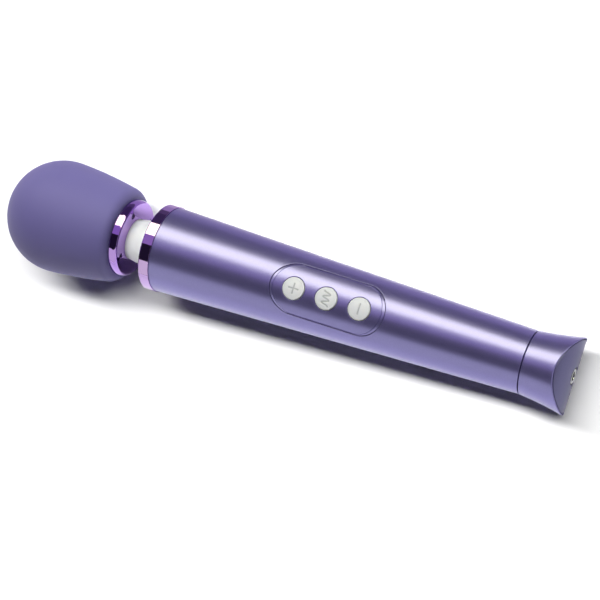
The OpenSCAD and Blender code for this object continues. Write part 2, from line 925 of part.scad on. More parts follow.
module battery_leads() {
    lead_z = charger_z1 + 0.65;
    color("firebrick") {
        lead([
            [cell_x1 + 0.9, 0, cell_z + 0.6],
            [wall_x1, 0, cell_z + 1.8],
            [wall_x1 + 7, -2, 0],
            [charger_x0 - 2, -3.5, lead_z],
            [charger_x0 + 2, -3.5, lead_z]
        ], lead_r);
        lead([
            [cell_x0 - 0.9, 0, cell_z + 4],
            [cell_x0 - 1.5, 6.5, 2.6],
            [cell_x0 + 2, 8, 3.4],
            [cell_x0 + 12, 8, 3.4],
            [wall_x0 - 8, 8, 3.4],
            [wall_x1 + 1, 8, 3.4],
            [wall_x1 + 5, 3.5, 1.8],
            [charger_x0 - 2, 3.5, lead_z],
            [charger_x0 + 2, 3.5, lead_z]
        ], lead_r);
    }
}

module motor_leads() {
    over_cell = board_z1 + 0.65;
    color("firebrick")
        both_sides()
            lead([
                [ring_x0 + ring_front_t, lead_y, 0],
                [chassis_x0 + 2, lead_y, 0],
                [cell_x0 - 4, 2.5, 4.5],
                [cell_x0, 3, over_cell],
                [board_x0 + 3, 3, over_cell]
            ], lead_r);
}

module charging_board() {
    color(board_green)
        block(charger_x0, charger_x1, -charger_half_w, charger_half_w, charger_z1 - 1.2, charger_z1);
}

module charging_parts() {
    x = charger_x0 + 8;
    color(black_plastic) {
        block(x, x + 5, -6, -1, charger_z1, charger_z1 + 2.4);
        block(x + 8, x + 12, -2, 2, charger_z1, charger_z1 + 1);
        block(x + 16, x + 19, 2.5, 5.5, charger_z1, charger_z1 + 1.2);
        post(x + 3, 3.6, charger_z1, charger_z1 + 5, 2.5);
        for (i = [0 : 5])
            block(x + 8 + 2 * i, x + 9 + 2 * i, -6.4, -5.8, charger_z1, charger_z1 + 0.5);
    }
}

module port_leads() {
    lead_z = charger_z1 + 0.65;
    color("firebrick")
        both_sides()
            lead([
                [charger_x1 - 3, 3.5, lead_z],
                [charger_x1 + 2, 3, lead_z],
                [chassis_x1 + 2, 1.8, 0],
                [port_flange_x0 - fit, 1.8, 0]
            ], lead_r - 0.1);
}

// ---------------------------------------------------------------- tail and charge port

module tail_seal() {
    seal_x = groove_x0 + groove_w / 2;
    color(black_plastic)
        rotate([0, 90, 0])
            rotate_extrude()
                translate([cap_spigot_r - groove_depth + seal_r + 0.02, seal_x])
                    circle(r = seal_r, $fn = 32);
}

module tail_cap() {
    web_x1 = cap_x0 + cap_web_t;
    color(purple_metal)
        difference() {
            union() {
                intersection() {
                    turned(concat([[cap_x0, 0]], cap_outline(0, cap_x0), [[tail_x + eps, 0]]));
                    end_barrel(0);
                }
                rod(cap_spigot_x0, cap_x0 + 0.1, cap_spigot_r);
            }
            turned([
                [cap_spigot_x0 - eps, 0], [cap_spigot_x0 - eps, cap_spigot_r - 1.7],
                [cap_x0, cap_spigot_r - 1.7], [cap_x0, 0]
            ]);
            tube(groove_x0, groove_x0 + groove_w, cap_spigot_r + eps, cap_spigot_r - groove_depth);
            turned(concat([[web_x1, 0]], cap_outline(cap_wall, web_x1), [[tail_x + eps, 0]]));
            difference() {
                turned(concat([[web_x1, 0]], cap_outline(rim_wall, web_x1), [[tail_x + eps, 0]]));
                end_barrel(plate_t + 0.2);
            }
            rod(cap_x0 - eps, web_x1 + eps, port_hole_r);
            both_sides()
                translate([0, tail_screw_y, 0])
                    rod(cap_x0 - eps, web_x1 + eps, 1.05);
        }
}

module tail_screws() {
    web_x1 = cap_x0 + cap_web_t;
    color(steel)
        both_sides()
            translate([0, tail_screw_y, 0]) {
                rod(chassis_x1 - tail_plate_t + 0.5, web_x1 + 0.1, tail_screw_hole_r - 0.05);
                rod(web_x1 + fit, web_x1 + 1.4, 1.7);
            }
}

module end_plate() {
    inset = rim_wall + plate_gap;
    x0 = cap_x0 + cap_web_t + 1;
    color(purple_metal)
        difference() {
            intersection() {
                turned(concat([[x0, 0]], cap_outline(inset, x0), [[tail_x + eps, 0]]));
                end_barrel(0.1);
            }
            end_barrel(plate_t + 0.15);
            rod(x0, tail_x + eps, port_hole_r);
        }
}

module port_housing() {
    color(black_plastic)
        turned([
            [port_flange_x0, 0],
            [port_flange_x0, port_hole_r + 1.4],
            [port_flange_x0 + port_flange_t, port_hole_r + 1.4],
            [port_flange_x0 + port_flange_t, port_housing_r],
            [port_x1 - 0.1, port_housing_r],
            [port_x1 - 0.1, port_sleeve_r + 0.03],
            [port_well_x0, port_sleeve_r + 0.03],
            [port_well_x0, pin_r + 0.03],
            [port_well_x0 - 3, pin_r + 0.03],
            [port_well_x0 - 3, 0]
        ]);
}

module port_sleeve() {
    mouth_x0 = port_x1 - port_mouth_len;
    color(steel)
        turned([
            [port_well_x0 + fit, port_r + 0.25],
            [port_well_x0 + fit, port_sleeve_r],
            [port_x1 - 0.3, port_sleeve_r],
            [port_x1, port_sleeve_r - 0.3],
            [port_x1, port_r],
            [mouth_x0, port_r],
            [mouth_x0, port_r + 0.25]
        ]);
}

module port_pin() {
    color(steel)
        turned([
            [port_well_x0 - 2.9, 0], [port_well_x0 - 2.9, pin_r], [pin_x1 - 0.4, pin_r],
            [pin_x1 - 0.1, pin_r - 0.25], [pin_x1, pin_r - 0.5], [pin_x1, 0]
        ]);
}

// ---------------------------------------------------------------- nodes

head_cover();
head_shell();
head_flange();
head_screws();
motor_cradle();
motor_sleeve();
motor_can();
motor_end_bell();
field_magnets();
motor_bushes();
motor_brushes();
neck_clamp();
head_leads();
rotor_shaft();
armature_core();
armature_windings();
commutator();
eccentric_weight();
neck_sleeve();
neck_spring();
neck_core();
neck_leads();
front_ring();
neck_retainer();
retainer_screws();
handle_shell();
control_panel();
button_plus();
button_mode();
button_minus();
plunger_plus();
plunger_mode();
plunger_minus();
switch_bodies();
control_board();
control_chips();
board_screws();
chassis();
battery_cell();
battery_tabs();
battery_leads();
motor_leads();
charging_board();
charging_parts();
port_leads();
tail_seal();
tail_cap();
tail_screws();
end_plate();
port_housing();
port_sleeve();
port_pin();
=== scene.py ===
"""Looks of the handheld wand massager, in metres.

+X runs from the head to the tail and +Z out of the buttons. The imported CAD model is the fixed
frame. Every piece that shows is rebuilt here as a fine mesh in the place of its CAD node, and so
are the spring and the leads in the neck, which bend. The other pieces inside keep their CAD
meshes. All of them get procedural materials.
"""
import json
from math import asin, atan2, cos, hypot, pi, radians, sin, sqrt, tan

import bmesh
import bpy
import numpy as np
from mathutils import Matrix, Vector
from mathutils.geometry import delaunay_2d_cdt


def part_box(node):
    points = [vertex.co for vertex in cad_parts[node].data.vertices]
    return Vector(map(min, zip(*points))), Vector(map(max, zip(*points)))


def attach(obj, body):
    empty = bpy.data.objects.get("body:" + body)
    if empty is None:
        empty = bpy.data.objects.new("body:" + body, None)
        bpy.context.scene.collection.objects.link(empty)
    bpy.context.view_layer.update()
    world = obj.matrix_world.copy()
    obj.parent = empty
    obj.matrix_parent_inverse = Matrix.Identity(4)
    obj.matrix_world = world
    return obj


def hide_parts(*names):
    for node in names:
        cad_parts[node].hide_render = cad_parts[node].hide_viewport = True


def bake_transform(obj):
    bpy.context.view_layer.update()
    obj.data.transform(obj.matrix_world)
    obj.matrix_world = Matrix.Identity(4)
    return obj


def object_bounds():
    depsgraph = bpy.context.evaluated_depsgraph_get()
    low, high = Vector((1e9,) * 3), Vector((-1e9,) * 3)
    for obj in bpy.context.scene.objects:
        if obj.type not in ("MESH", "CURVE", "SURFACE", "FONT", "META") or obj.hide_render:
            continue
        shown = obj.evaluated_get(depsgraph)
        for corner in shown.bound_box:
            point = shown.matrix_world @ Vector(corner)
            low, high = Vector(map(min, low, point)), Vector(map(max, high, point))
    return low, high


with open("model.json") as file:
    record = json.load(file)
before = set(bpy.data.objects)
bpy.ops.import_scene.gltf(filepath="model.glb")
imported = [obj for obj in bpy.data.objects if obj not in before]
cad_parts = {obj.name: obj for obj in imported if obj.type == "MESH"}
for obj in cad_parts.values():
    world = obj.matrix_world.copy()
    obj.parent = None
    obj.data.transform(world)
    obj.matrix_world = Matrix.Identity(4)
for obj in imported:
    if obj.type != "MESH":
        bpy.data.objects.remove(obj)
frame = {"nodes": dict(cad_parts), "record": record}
cad_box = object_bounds()
scene = bpy.context.scene

MM = 0.001
WELD = 1e-7                      # points closer than this are one point
SHARP = radians(38)              # edges that turn more than this stay crisp
TURN = 240                       # steps round the large turned pieces
SMALL_TURN = 96                  # steps round the small ones
TINY_TURN = 48                   # steps round screws, stems and pins

# ------------------------ stations, read from the frame


def low(name):
    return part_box(name)[0]


def high(name):
    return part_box(name)[1]


FIT = 0.05 * MM                  # gap left between snug parts
SEAM_GAP = 0.45 * MM             # dark line between the handle and the tail
TIP_X = low("head_cover").x
BALL_R = min(high("head_cover").y, high("head_cover").z)
COVER_X1 = high("head_cover").x
FLANGE_X0 = COVER_X1 + FIT
FLANGE_X1 = high("head_flange").x
FLANGE_R = high("head_flange").y
RING_X0 = low("front_ring").x
RING_R = high("front_ring").y
RING_X1 = low("handle_shell").x - FIT
HANDLE_R0 = high("handle_shell").y
HANDLE_R1 = 12.9 * MM
SEAM_X = high("handle_shell").x
CAP_X0 = SEAM_X + SEAM_GAP
TAIL_X = cad_box[1].x
NECK_X = TIP_X + 65 * MM         # both neck hinges turn here
HANDLE_WALL = 1.6 * MM


def handle_radius(x):
    return HANDLE_R0 + (HANDLE_R1 - HANDLE_R0) * (x - RING_X1) / (SEAM_X - RING_X1)


# ------------------------ mesh tools


def solid(name, corners, faces):
    """Piece made of corners and faces, welded, turned outwards, smooth but for its crisp edges."""
    mesh = bpy.data.meshes.new(name)
    mesh.from_pydata(corners, [], faces)
    work = bmesh.new()
    work.from_mesh(mesh)
    bmesh.ops.remove_doubles(work, verts=work.verts, dist=WELD)
    bmesh.ops.dissolve_degenerate(work, dist=WELD, edges=work.edges)
    loose = [v for v in work.verts if not v.link_faces]
    bmesh.ops.delete(work, geom=loose, context="VERTS")
    bmesh.ops.recalc_face_normals(work, faces=work.faces)
    work.to_mesh(mesh)
    work.free()
    mesh.shade_smooth()
    mesh.set_sharp_from_angle(angle=SHARP)
    piece = bpy.data.objects.new(name, mesh)
    scene.collection.objects.link(piece)
    return piece


def rounded(corners, hold=0.03 * MM):
    """Closed outline through (x, r, fillet) corners.

    Each corner turns by an arc. A point held close on either side keeps the flats looking flat.
    """
    steps = 6
    outline = []
    for i, (x, r, fillet) in enumerate(corners):
        here = Vector((x, r))
        if fillet == 0:
            outline.append(here)
            continue
        before = (Vector(corners[i - 1][:2]) - here).normalized()
        after = (Vector(corners[(i + 1) % len(corners)][:2]) - here).normalized()
        half = before.angle(after) / 2
        reach = fillet / tan(half)
        centre = here + (before + after).normalized() * fillet / sin(half)
        start = here + before * reach - centre
        end = here + after * reach - centre
        first = atan2(start.y, start.x)
        sweep = (atan2(end.y, end.x) - first + pi) % (2 * pi) - pi
        outline.append(here + before * (reach + hold))
        for k in range(steps + 1):
            angle = first + sweep * k / steps
            outline.append(centre + fillet * Vector((cos(angle), sin(angle))))
        outline.append(here + after * (reach + hold))
    return outline


def spread_count(first, last, count):
    """Stations from first to last, in a number of even steps."""
    return [first + (last - first) * i / count for i in range(count + 1)]


def spread(first, last, step):
    """Even stations from first to last, about a step apart."""
    return spread_count(first, last, max(round((last - first) / step), 1))


def arc(cx, cr, radius, first, last, steps):
    """Points (x, r) on an arc, with angles in degrees measured from straight out towards +X."""
    angles = [radians(a) for a in spread_count(first, last, steps)]
    return [(cx + radius * sin(a), cr + radius * cos(a)) for a in angles]


def turned_mesh(section, steps):
    """Corners and faces of a shell turned about X.

    section is a loop of (x, r) points, or a function of the angle that gives one.
    """
    angles = [2 * pi * k / steps for k in range(steps)]
    loops = [section(a) if callable(section) else section for a in angles]
    count = len(loops[0])
    corners = [(x, r * sin(a), r * cos(a)) for a, loop in zip(angles, loops) for x, r in loop]
    faces = [
        (k * count + i, k * count + (i + 1) % count,
         (k + 1) % steps * count + (i + 1) % count, (k + 1) % steps * count + i)
        for k in range(steps) for i in range(count)
    ]
    return corners, faces


def turned(name, section, steps=TURN):
    return solid(name, *turned_mesh(section, steps))


def joined(name, parts):
    """One piece out of several (corners, faces) meshes."""
    corners, faces = [], []
    for part_corners, part_faces in parts:
        start = len(corners)
        corners += part_corners
        faces += [tuple(start + i for i in face) for face in part_faces]
    return solid(name, corners, faces)


def carved(piece, name, corners, faces):
    """Cuts a closed cutter mesh out of a piece."""
    cutter = solid(name, corners, faces)
    cut = piece.modifiers.new("cut", "BOOLEAN")
    cut.operation = "DIFFERENCE"
    cut.solver = "EXACT"
    cut.object = cutter
    graph = bpy.context.evaluated_depsgraph_get()
    mesh = bpy.data.meshes.new_from_object(piece.evaluated_get(graph))
    piece.modifiers.clear()
    piece.data = mesh
    bpy.data.objects.remove(cutter)
    mesh.shade_smooth()
    mesh.set_sharp_from_angle(angle=SHARP)
    return piece


def box_mesh(x0, x1, y0, y1, z0, z1):
    corners = [(x, y, z) for x in (x0, x1) for y in (y0, y1) for z in (z0, z1)]
    faces = [(0, 1, 3, 2), (4, 6, 7, 5), (0, 4, 5, 1), (2, 3, 7, 6), (0, 2, 6, 4), (1, 5, 7, 3)]
    return corners, faces


def outward(radius, angle):
    """Shift from the wand's axis to a radius, at an angle from +Z towards +Y."""
    return 0, radius * sin(angle), radius * cos(angle)


def moved(part, shift, turn=0):
    """The mesh turned by an angle about X and then shifted."""
    corners, faces = part
    c, s = cos(turn), sin(turn)
    dx, dy, dz = shift
    return [(x + dx, y * c + z * s + dy, z * c - y * s + dz) for x, y, z in corners], faces


def upright(part, x, y):
    """A mesh turned about X, stood up so that its X points along +Z, over the place x, y."""
    corners, faces = part
    return [(x + c, y + b, a) for a, b, c in corners], faces


def triangles(rows, loops, keep):
    """Plane points and the triangles over them, where keep(x, y) is true.

    Every row is an open chain of edges in the result, and every loop a closed one.
    """
    unit = 1000                  # points go in as millimetres, in scale with the tolerance
    tolerance = 1e-5
    corners, edges = [], []
    for chain, closed in [(row, False) for row in rows] + [(loop, True) for loop in loops]:
        start = len(corners)
        corners += [Vector(p) * unit for p in chain]
        edges += [(start + i, start + i + 1) for i in range(len(chain) - 1)]
        if closed:
            edges.append((len(corners) - 1, start))
    found = delaunay_2d_cdt(corners, edges, [], 0, tolerance)
    points = [(p.x / unit, p.y / unit) for p in found[0]]
    kept = []
    for face in found[2]:
        centre = np.mean([points[i] for i in face], axis=0)
        if keep(*centre):
            kept.append(tuple(face))
    return points, kept


def stepped(points, faces, region_of, top, bottom, is_seam=lambda a, b: False):
    """Corners and faces of a solid over plane triangles, whose top may step between regions."""
    index, corners = {}, []

    def corner(key, place):
        if key not in index:
            index[key] = len(corners)
            corners.append(place)
        return index[key]

    def top_corner(i, region):
        return corner((i, region), top(*points[i], region))

    def bottom_corner(i):
        return corner((i, None), bottom(*points[i]))

    made, sides = [], {}
    for face in faces:
        region = region_of(*np.mean([points[i] for i in face], axis=0))
        made.append([top_corner(i, region) for i in face])
        made.append([bottom_corner(i) for i in reversed(face)])
        for a, b in zip(face, face[1:] + face[:1]):
            sides.setdefault((min(a, b), max(a, b)), []).append(region)
    for (a, b), regions in sides.items():
        if len(regions) == 1 and not is_seam(points[a], points[b]):
            region = regions[0]
            made.append([
                top_corner(a, region), top_corner(b, region), bottom_corner(b), bottom_corner(a),
            ])
        elif len(regions) == 2 and regions[0] != regions[1]:
            one, other = regions
            made.append([
                top_corner(a, one), top_corner(b, one), top_corner(b, other), top_corner(a, other),
            ])
    return corners, made


# Stations across a rounded edge, as shares of its fillet, and one on the flat behind it
FILLET_AT = [1 - cos(radians(a)) for a in (0, 22.5, 45, 67.5, 90)] + [1.25]


def edge_drop(distance, fillet):
    """How far a rounded edge has fallen at a distance in from it."""
    if distance >= fillet:
        return 0
    return fillet - sqrt(max(fillet ** 2 - (fillet - max(distance, 0)) ** 2, 0))


# ------------------------ materials


def node(tree, kind, inputs=None, **settings):
    made = tree.nodes.new("ShaderNode" + kind)
    for key, value in settings.items():
        setattr(made, key, value)
    for key, value in (inputs or {}).items():
        if isinstance(value, bpy.types.NodeSocket):
            tree.links.new(value, made.inputs[key])
        else:
            made.inputs[key].default_value = value
    return made


def mixed(tree, factor, a, b, **settings):
    """Colour part way from a to b."""
    inputs = {"Factor": factor, "A": a, "B": b}
    return node(tree, "Mix", inputs, data_type="RGBA", **settings).outputs["Result"]


def ramp(tree, value, first, last, start=0, end=1):
    """Runs from first to last while the value runs from start to end."""
    inputs = {"Value": value, "From Min": start, "From Max": end, "To Min": first, "To Max": last}
    return node(tree, "MapRange", inputs).outputs["Result"]


materials = {}
DRIFT_SCALE = 60                 # of the patterns, per metre
FLAKE_SCALE = 7000
TRACK_SCALE = 900
FLAKE_LEVELS = (0.93, 1.07)      # how far flakes shade the lacquer
TRACK_WIDTH = 0.04
TRACK_LIGHTER = 2.2


def finish(
    name, colour, roughness, grain, relief, shade=0.08, gloss=0.04, stretch=(1, 1, 1), **sockets
):
    """Material whose colour and gloss drift over the surface, under a fine grain.

    grain and relief are the grain's size and height in metres. shade and gloss are how far the
    colour and the roughness drift.
    """
    material = materials[name] = bpy.data.materials.new(name)
    material.use_nodes = True
    tree = material.node_tree
    shader = tree.nodes["Principled BSDF"]
    place = node(tree, "TexCoord").outputs["Object"]
    place = node(tree, "Mapping", {"Vector": place, "Scale": stretch}).outputs["Vector"]
    drift = node(tree, "TexNoise", {"Vector": place, "Scale": DRIFT_SCALE, "Detail": 4})
    drift = drift.outputs["Fac"]
    fine = node(tree, "TexNoise", {"Vector": place, "Scale": 1 / grain, "Detail": 3})
    dark = (*[c * (1 - shade) for c in colour], 1)
    light = (*[min(c * (1 + shade), 1) for c in colour], 1)
    tint = mixed(tree, drift, dark, light)
    rough = ramp(tree, drift, roughness - gloss, roughness + gloss)
    bump = node(tree, "Bump", {"Height": fine.outputs["Fac"], "Distance": relief, "Strength": 1})
    tree.links.new(tint, shader.inputs["Base Color"])
    tree.links.new(rough, shader.inputs["Roughness"])
    tree.links.new(bump.outputs["Normal"], shader.inputs["Normal"])
    for key, value in sockets.items():
        shader.inputs[key.replace("_", " ")].default_value = value
    return material


def flaked(name, colour, roughness, **sockets):
    """Metallic lacquer whose small flakes are each a little lighter or darker."""
    material = finish(name, colour, roughness, 0.5 * MM, 0.2e-6, 0.03, 0.02, **sockets)
    tree = material.node_tree
    shader = tree.nodes["Principled BSDF"]
    place = node(tree, "TexCoord").outputs["Object"]
    flakes = node(tree, "TexVoronoi", {"Vector": place, "Scale": FLAKE_SCALE}).outputs["Color"]
    level = node(tree, "RGBToBW", {"Color": flakes}).outputs["Val"]
    sparkle = ramp(tree, level, *FLAKE_LEVELS)
    base = shader.inputs["Base Color"].links[0].from_socket
    tint = mixed(tree, 1, base, sparkle, blend_type="MULTIPLY")
    tree.links.new(tint, shader.inputs["Base Color"])
    return material


def marked(name, colour, mark_shade_colour, roughness, **sockets):
    """Soft white with painted shade in its sunken marks: where the mesh attribute "mark" is set,
    the colour turns greyer.
    """
    material = finish(name, colour, roughness, 0.12 * MM, 2e-6, 0.015, **sockets)
    tree = material.node_tree
    shader = tree.nodes["Principled BSDF"]
    mark_shade = node(tree, "Attribute", attribute_name="mark").outputs["Fac"]
    base = shader.inputs["Base Color"].links[0].from_socket
    tree.links.new(mixed(tree, mark_shade, base, (*mark_shade_colour, 1)), shader.inputs["Base Color"])
    return material


def traced(name, colour):
    """Solder mask over copper tracks, which show as a paler blocky pattern."""
    material = finish(name, colour, 0.3, 0.6 * MM, 3e-6, 0.1)
    tree = material.node_tree
    shader = tree.nodes["Principled BSDF"]
    place = node(tree, "TexCoord").outputs["Object"]
    tracks = node(
        tree, "TexBrick", {"Vector": place, "Scale": TRACK_SCALE, "Mortar Size": TRACK_WIDTH}
    ).outputs["Fac"]
    pale = (*[min(c * TRACK_LIGHTER, 1) for c in colour], 1)
    base = shader.inputs["Base Color"].links[0].from_socket
    tree.links.new(mixed(tree, tracks, base, pale), shader.inputs["Base Color"])
    return material


BRUSHED = (1, 1, 14)             # squeezes a noise so that its streaks run round the part
WOUND = (14, 1, 1)               # and so that they run across it, as turns of wire do
finish(
    "purple_silicone", (0.160, 0.138, 0.372), 0.62, 0.09 * MM, 2.5e-6, 0.04, 0.03,
    Sheen_Weight=0.06, Sheen_Roughness=0.45, Sheen_Tint=(0.80, 0.76, 1, 1), IOR=1.43,
)
# white silicone; its second colour is the painted shade in the buttons' sunken marks
marked(
    "white_silicone", (0.90, 0.915, 0.90), (0.56, 0.57, 0.57), 0.42,
    Subsurface_Weight=0.45, Subsurface_Radius=(0.003, 0.0028, 0.0026), Subsurface_Scale=1,
    IOR=1.43,
)
finish("purple_mirror", (0.50, 0.345, 0.66), 0.045, 2 * MM, 0.3e-6, 0.02, 0.01, Metallic=1)
# the flange is the same purple chrome as the ring; this copy is darker and bluer, painted shade for
# the dark purple it reflects
finish("flange_mirror_painted_shade", (0.43, 0.265, 0.68), 0.045, 2 * MM, 0.3e-6, 0.02, 0.01, Metallic=1)
flaked(
    "purple_metallic", (0.235, 0.210, 0.485), 0.315,
    Metallic=0.8, Coat_Weight=0.25, Coat_Roughness=0.25,
)
flaked(
    "purple_satin", (0.112, 0.106, 0.218), 0.40,
    Metallic=0.8, Coat_Weight=0.1, Coat_Roughness=0.3,
)
finish("black_abs", (0.018, 0.018, 0.020), 0.5, 0.15 * MM, 6e-6)
finish("black_rubber", (0.022, 0.022, 0.022), 0.72, 0.1 * MM, 6e-6)
finish("dark_screw", (0.10, 0.075, 0.16), 0.22, 0.1 * MM, 3e-6, 0.1, stretch=BRUSHED, Metallic=1)
finish("zinc_steel", (0.52, 0.53, 0.55), 0.32, 0.2 * MM, 3e-6, 0.1, stretch=BRUSHED, Metallic=1)
finish("bright_steel", (0.72, 0.72, 0.74), 0.16, 0.2 * MM, 1e-6, 0.05, stretch=BRUSHED, Metallic=1)
finish("port_nickel", (0.52, 0.52, 0.55), 0.16, 0.3 * MM, 1e-6, 0.05, Metallic=1)
finish("ferrite", (0.045, 0.045, 0.05), 0.6, 0.1 * MM, 8e-6, 0.2, Metallic=0.4)
finish("bronze", (0.45, 0.27, 0.10), 0.42, 0.08 * MM, 6e-6, 0.15, Metallic=1)
finish(
    "copper", (0.62, 0.24, 0.10), 0.25, 0.25 * MM, 8e-6, 0.12,
    stretch=WOUND, Metallic=1, Coat_Weight=0.4,
)
finish("lead_red", (0.35, 0.012, 0.012), 0.38, 0.2 * MM, 3e-6)
traced("board_green", (0.010, 0.075, 0.028))
finish("chip_black", (0.012, 0.012, 0.014), 0.45, 0.1 * MM, 5e-6)
finish("cell_wrap", (0.025, 0.13, 0.34), 0.28, 1.5 * MM, 8e-6, 0.05, Coat_Weight=0.3)


def dress(piece, slot, *nodes, body=None, material=None):
    """Gives a piece its material, the CAD nodes it stands for and the body it rides on.

    The material is the slot's own unless another is named.
    """
    piece.data.materials.clear()
    piece.data.materials.append(materials[material or slot])
    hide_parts(*nodes)
    if body:
        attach(piece, body)
    return piece


# ------------------------ camera

CAMERA_LEAN = radians(20)        # from straight above towards the tail
CAMERA_ROLL = radians(17.5)      # so that the wand runs down across the picture
CAMERA_DISTANCE = 0.7505
LENS_MM = 111
SENSOR_MM = 36
AIM = Vector((0.01054, -0.0036, 0))


def make_camera():
    back = Vector((sin(CAMERA_LEAN), 0, cos(CAMERA_LEAN)))
    level = Vector((cos(CAMERA_LEAN), 0, -sin(CAMERA_LEAN)))
    right = level * cos(CAMERA_ROLL) + Vector((0, sin(CAMERA_ROLL), 0))
    up = back.cross(right)
    data = bpy.data.cameras.new("camera")
    data.lens = LENS_MM
    data.sensor_width = SENSOR_MM
    camera = bpy.data.objects.new("camera", data)
    scene.collection.objects.link(camera)
    turn = camera.matrix_world.to_3x3()
    for i, direction in enumerate((right, up, back)):
        turn.col[i] = direction
    camera.rotation_mode = "QUATERNION"
    camera.rotation_quaternion = turn.to_quaternion()
    camera.location = AIM + back * CAMERA_DISTANCE
    scene.camera = camera


make_camera()

# ------------------------ head

SIDE_R = 200 * MM
SIDE_START = 3.5                 # degrees round the ball where the long side curve starts
REAR_R = 4.4 * MM
COVER_WALL = 2.2 * MM
SHOULDER_X = TIP_X + 52.1 * MM
BALL_X = TIP_X + BALL_R
SIDE_CX = BALL_X + (BALL_R - SIDE_R) * sin(radians(SIDE_START))
SIDE_CR = (BALL_R - SIDE_R) * cos(radians(SIDE_START))
SIDE_END = asin((SHOULDER_X - SIDE_CX) / SIDE_R)
REAR_CX = SIDE_CX + (SIDE_R - REAR_R) * sin(SIDE_END)
REAR_CR = SIDE_CR + (SIDE_R - REAR_R) * cos(SIDE_END)


def head_outline(depth):
    """Outline of the head at a depth below its surface, from the tip to the rear."""
    end = SIDE_END * 180 / pi
    ball = arc(BALL_X, 0, BALL_R - depth, -90, SIDE_START, steps=72)
    side = arc(SIDE_CX, SIDE_CR, SIDE_R - depth, SIDE_START, end, steps=24)
    rear = arc(REAR_CX, REAR_CR, REAR_R - depth, end, 90, steps=16)
    return ball + side[1:] + rear[1:]


def make_head():
    dress(turned("soft_head", head_outline(0) + head_outline(COVER_WALL)[::-1]),
          "purple_silicone", "head_cover", body="head")


FLANGE_BEVEL_X = 2.2 * MM
FLANGE_BEVEL_R = 1.3 * MM
FLANGE_HOLE_R = 8.75 * MM
SPIGOT_R = REAR_CR - 0.2 * MM
SPIGOT_WALL = 1 * MM
SPIGOT_LEN = 4.1 * MM
SCREW_CIRCLE = 12.3 * MM
SINK_R = 1.25 * MM
SINK_DEPTH = 0.9 * MM
SCREW_ANGLES = [radians(a) for a in (45, 135, 225, 315)]


def flange_outline():
    bevel = [
        (FLANGE_X1 - FLANGE_BEVEL_X * (1 - sin(a)), FLANGE_R - FLANGE_BEVEL_R * (1 - cos(a)))
        for a in (radians(5 * k) for k in range(19))
    ]
    face_r = bevel[-1][1]
    rear = rounded([
        (FLANGE_X1, face_r - 0.4 * MM, 0),
        (FLANGE_X1, FLANGE_HOLE_R, 0.25 * MM),
        (FLANGE_X0, FLANGE_HOLE_R, 0.1 * MM),
        (FLANGE_X0, SPIGOT_R - SPIGOT_WALL, 0),
        (FLANGE_X0 - SPIGOT_LEN, SPIGOT_R - SPIGOT_WALL, 0.1 * MM),
        (FLANGE_X0 - SPIGOT_LEN, SPIGOT_R, 0.2 * MM),
        (FLANGE_X0, SPIGOT_R, 0),
        (FLANGE_X0, FLANGE_R, 0.25 * MM),
        (FLANGE_X1 - FLANGE_BEVEL_X - 0.1 * MM, FLANGE_R, 0),
    ])
    return bevel + [(FLANGE_X1, face_r - 0.02 * MM)] + [tuple(p) for p in rear]


def screw_well():
    """Cutter for one screw: a chamfered sink and the hole below it."""
    lead_in = 0.15 * MM
    past = 1 * MM
    floor_x = FLANGE_X1 - SINK_DEPTH
    hole_r = 0.9 * MM
    return turned_mesh([
        (FLANGE_X0 - past, 0), (FLANGE_X0 - past, hole_r),
        (floor_x, hole_r), (floor_x, SINK_R),
        (FLANGE_X1 - lead_in, SINK_R), (FLANGE_X1, SINK_R + lead_in),
        (FLANGE_X1 + past, SINK_R + lead_in), (FLANGE_X1 + past, 0),
    ], TINY_TURN)


def at_screw_circle(part):
    return [moved(part, outward(SCREW_CIRCLE, a), a) for a in SCREW_ANGLES]


def make_flange():
    flange = turned("mirror_flange", flange_outline())
    for i, (corners, faces) in enumerate(at_screw_circle(screw_well())):
        carved(flange, f"well_{i}", corners, faces)
    # the flange takes the darker, bluer copy of the ring's chrome: painted shade in its reflections
    dress(flange, "purple_mirror", "head_flange", body="head", material="flange_mirror_painted_shade")


def make_flange_screws():
    head_r = SINK_R - 0.1 * MM
    shank_r = 0.8 * MM
    seat_x = FLANGE_X1 - SINK_DEPTH
    top_x = FLANGE_X1 - 0.25 * MM
    tip = low("head_screws").x
    body = rounded([
        (tip, 0, 0), (tip, shank_r * 0.6, 0.05 * MM),
        (tip + 0.5 * MM, shank_r, 0.1 * MM), (seat_x, shank_r, 0),
        (seat_x, head_r, 0.08 * MM), (top_x - 0.1 * MM, head_r, 0.25 * MM), (top_x, 0, 0),
    ], 0.01 * MM)
    screws = joined("flange_screws", at_screw_circle(turned_mesh(body, TINY_TURN)))
    half_slot = 0.17 * MM
    half_arm = 0.75 * MM
    slot_x = top_x - 0.4 * MM
    slot_turn = 0.5
    for i, angle in enumerate(SCREW_ANGLES):
        for j, (half_y, half_z) in enumerate(((half_slot, half_arm), (half_arm, half_slot))):
            bar = box_mesh(slot_x, top_x + 1 * MM, -half_y, half_y, -half_z, half_z)
            bar = moved(bar, outward(SCREW_CIRCLE, angle), slot_turn)
            carved(screws, f"slot_{i}_{j}", *bar)
    dress(screws, "dark_screw", "head_screws", body="head")


make_head()
make_flange()
make_flange_screws()

# ------------------------ neck

NECK_R0 = 8.6 * MM
NECK_R1 = 9.7 * MM
NECK_SWELL = radians(120)        # how much of a sine wave the side follows
SLEEVE_R_IN = 6.9 * MM
BEAD_HEIGHT = 0.22 * MM
BEAD_WIDTH = 0.45 * MM
BEAD_X = RING_X0 - 0.7 * MM


def neck_radius(x):
    """Outside of the soft neck between the flange and the ring, where it swells a little."""
    share = (x - FLANGE_X1) / (RING_X0 - FLANGE_X1)
    return NECK_R0 + (NECK_R1 - NECK_R0) * sin(NECK_SWELL * min(max(share, 0), 1))


def bead(x):
    """Low rounded bead where the neck meets the ring."""
    return BEAD_HEIGHT * np.exp(-((x - BEAD_X) / BEAD_WIDTH) ** 2)


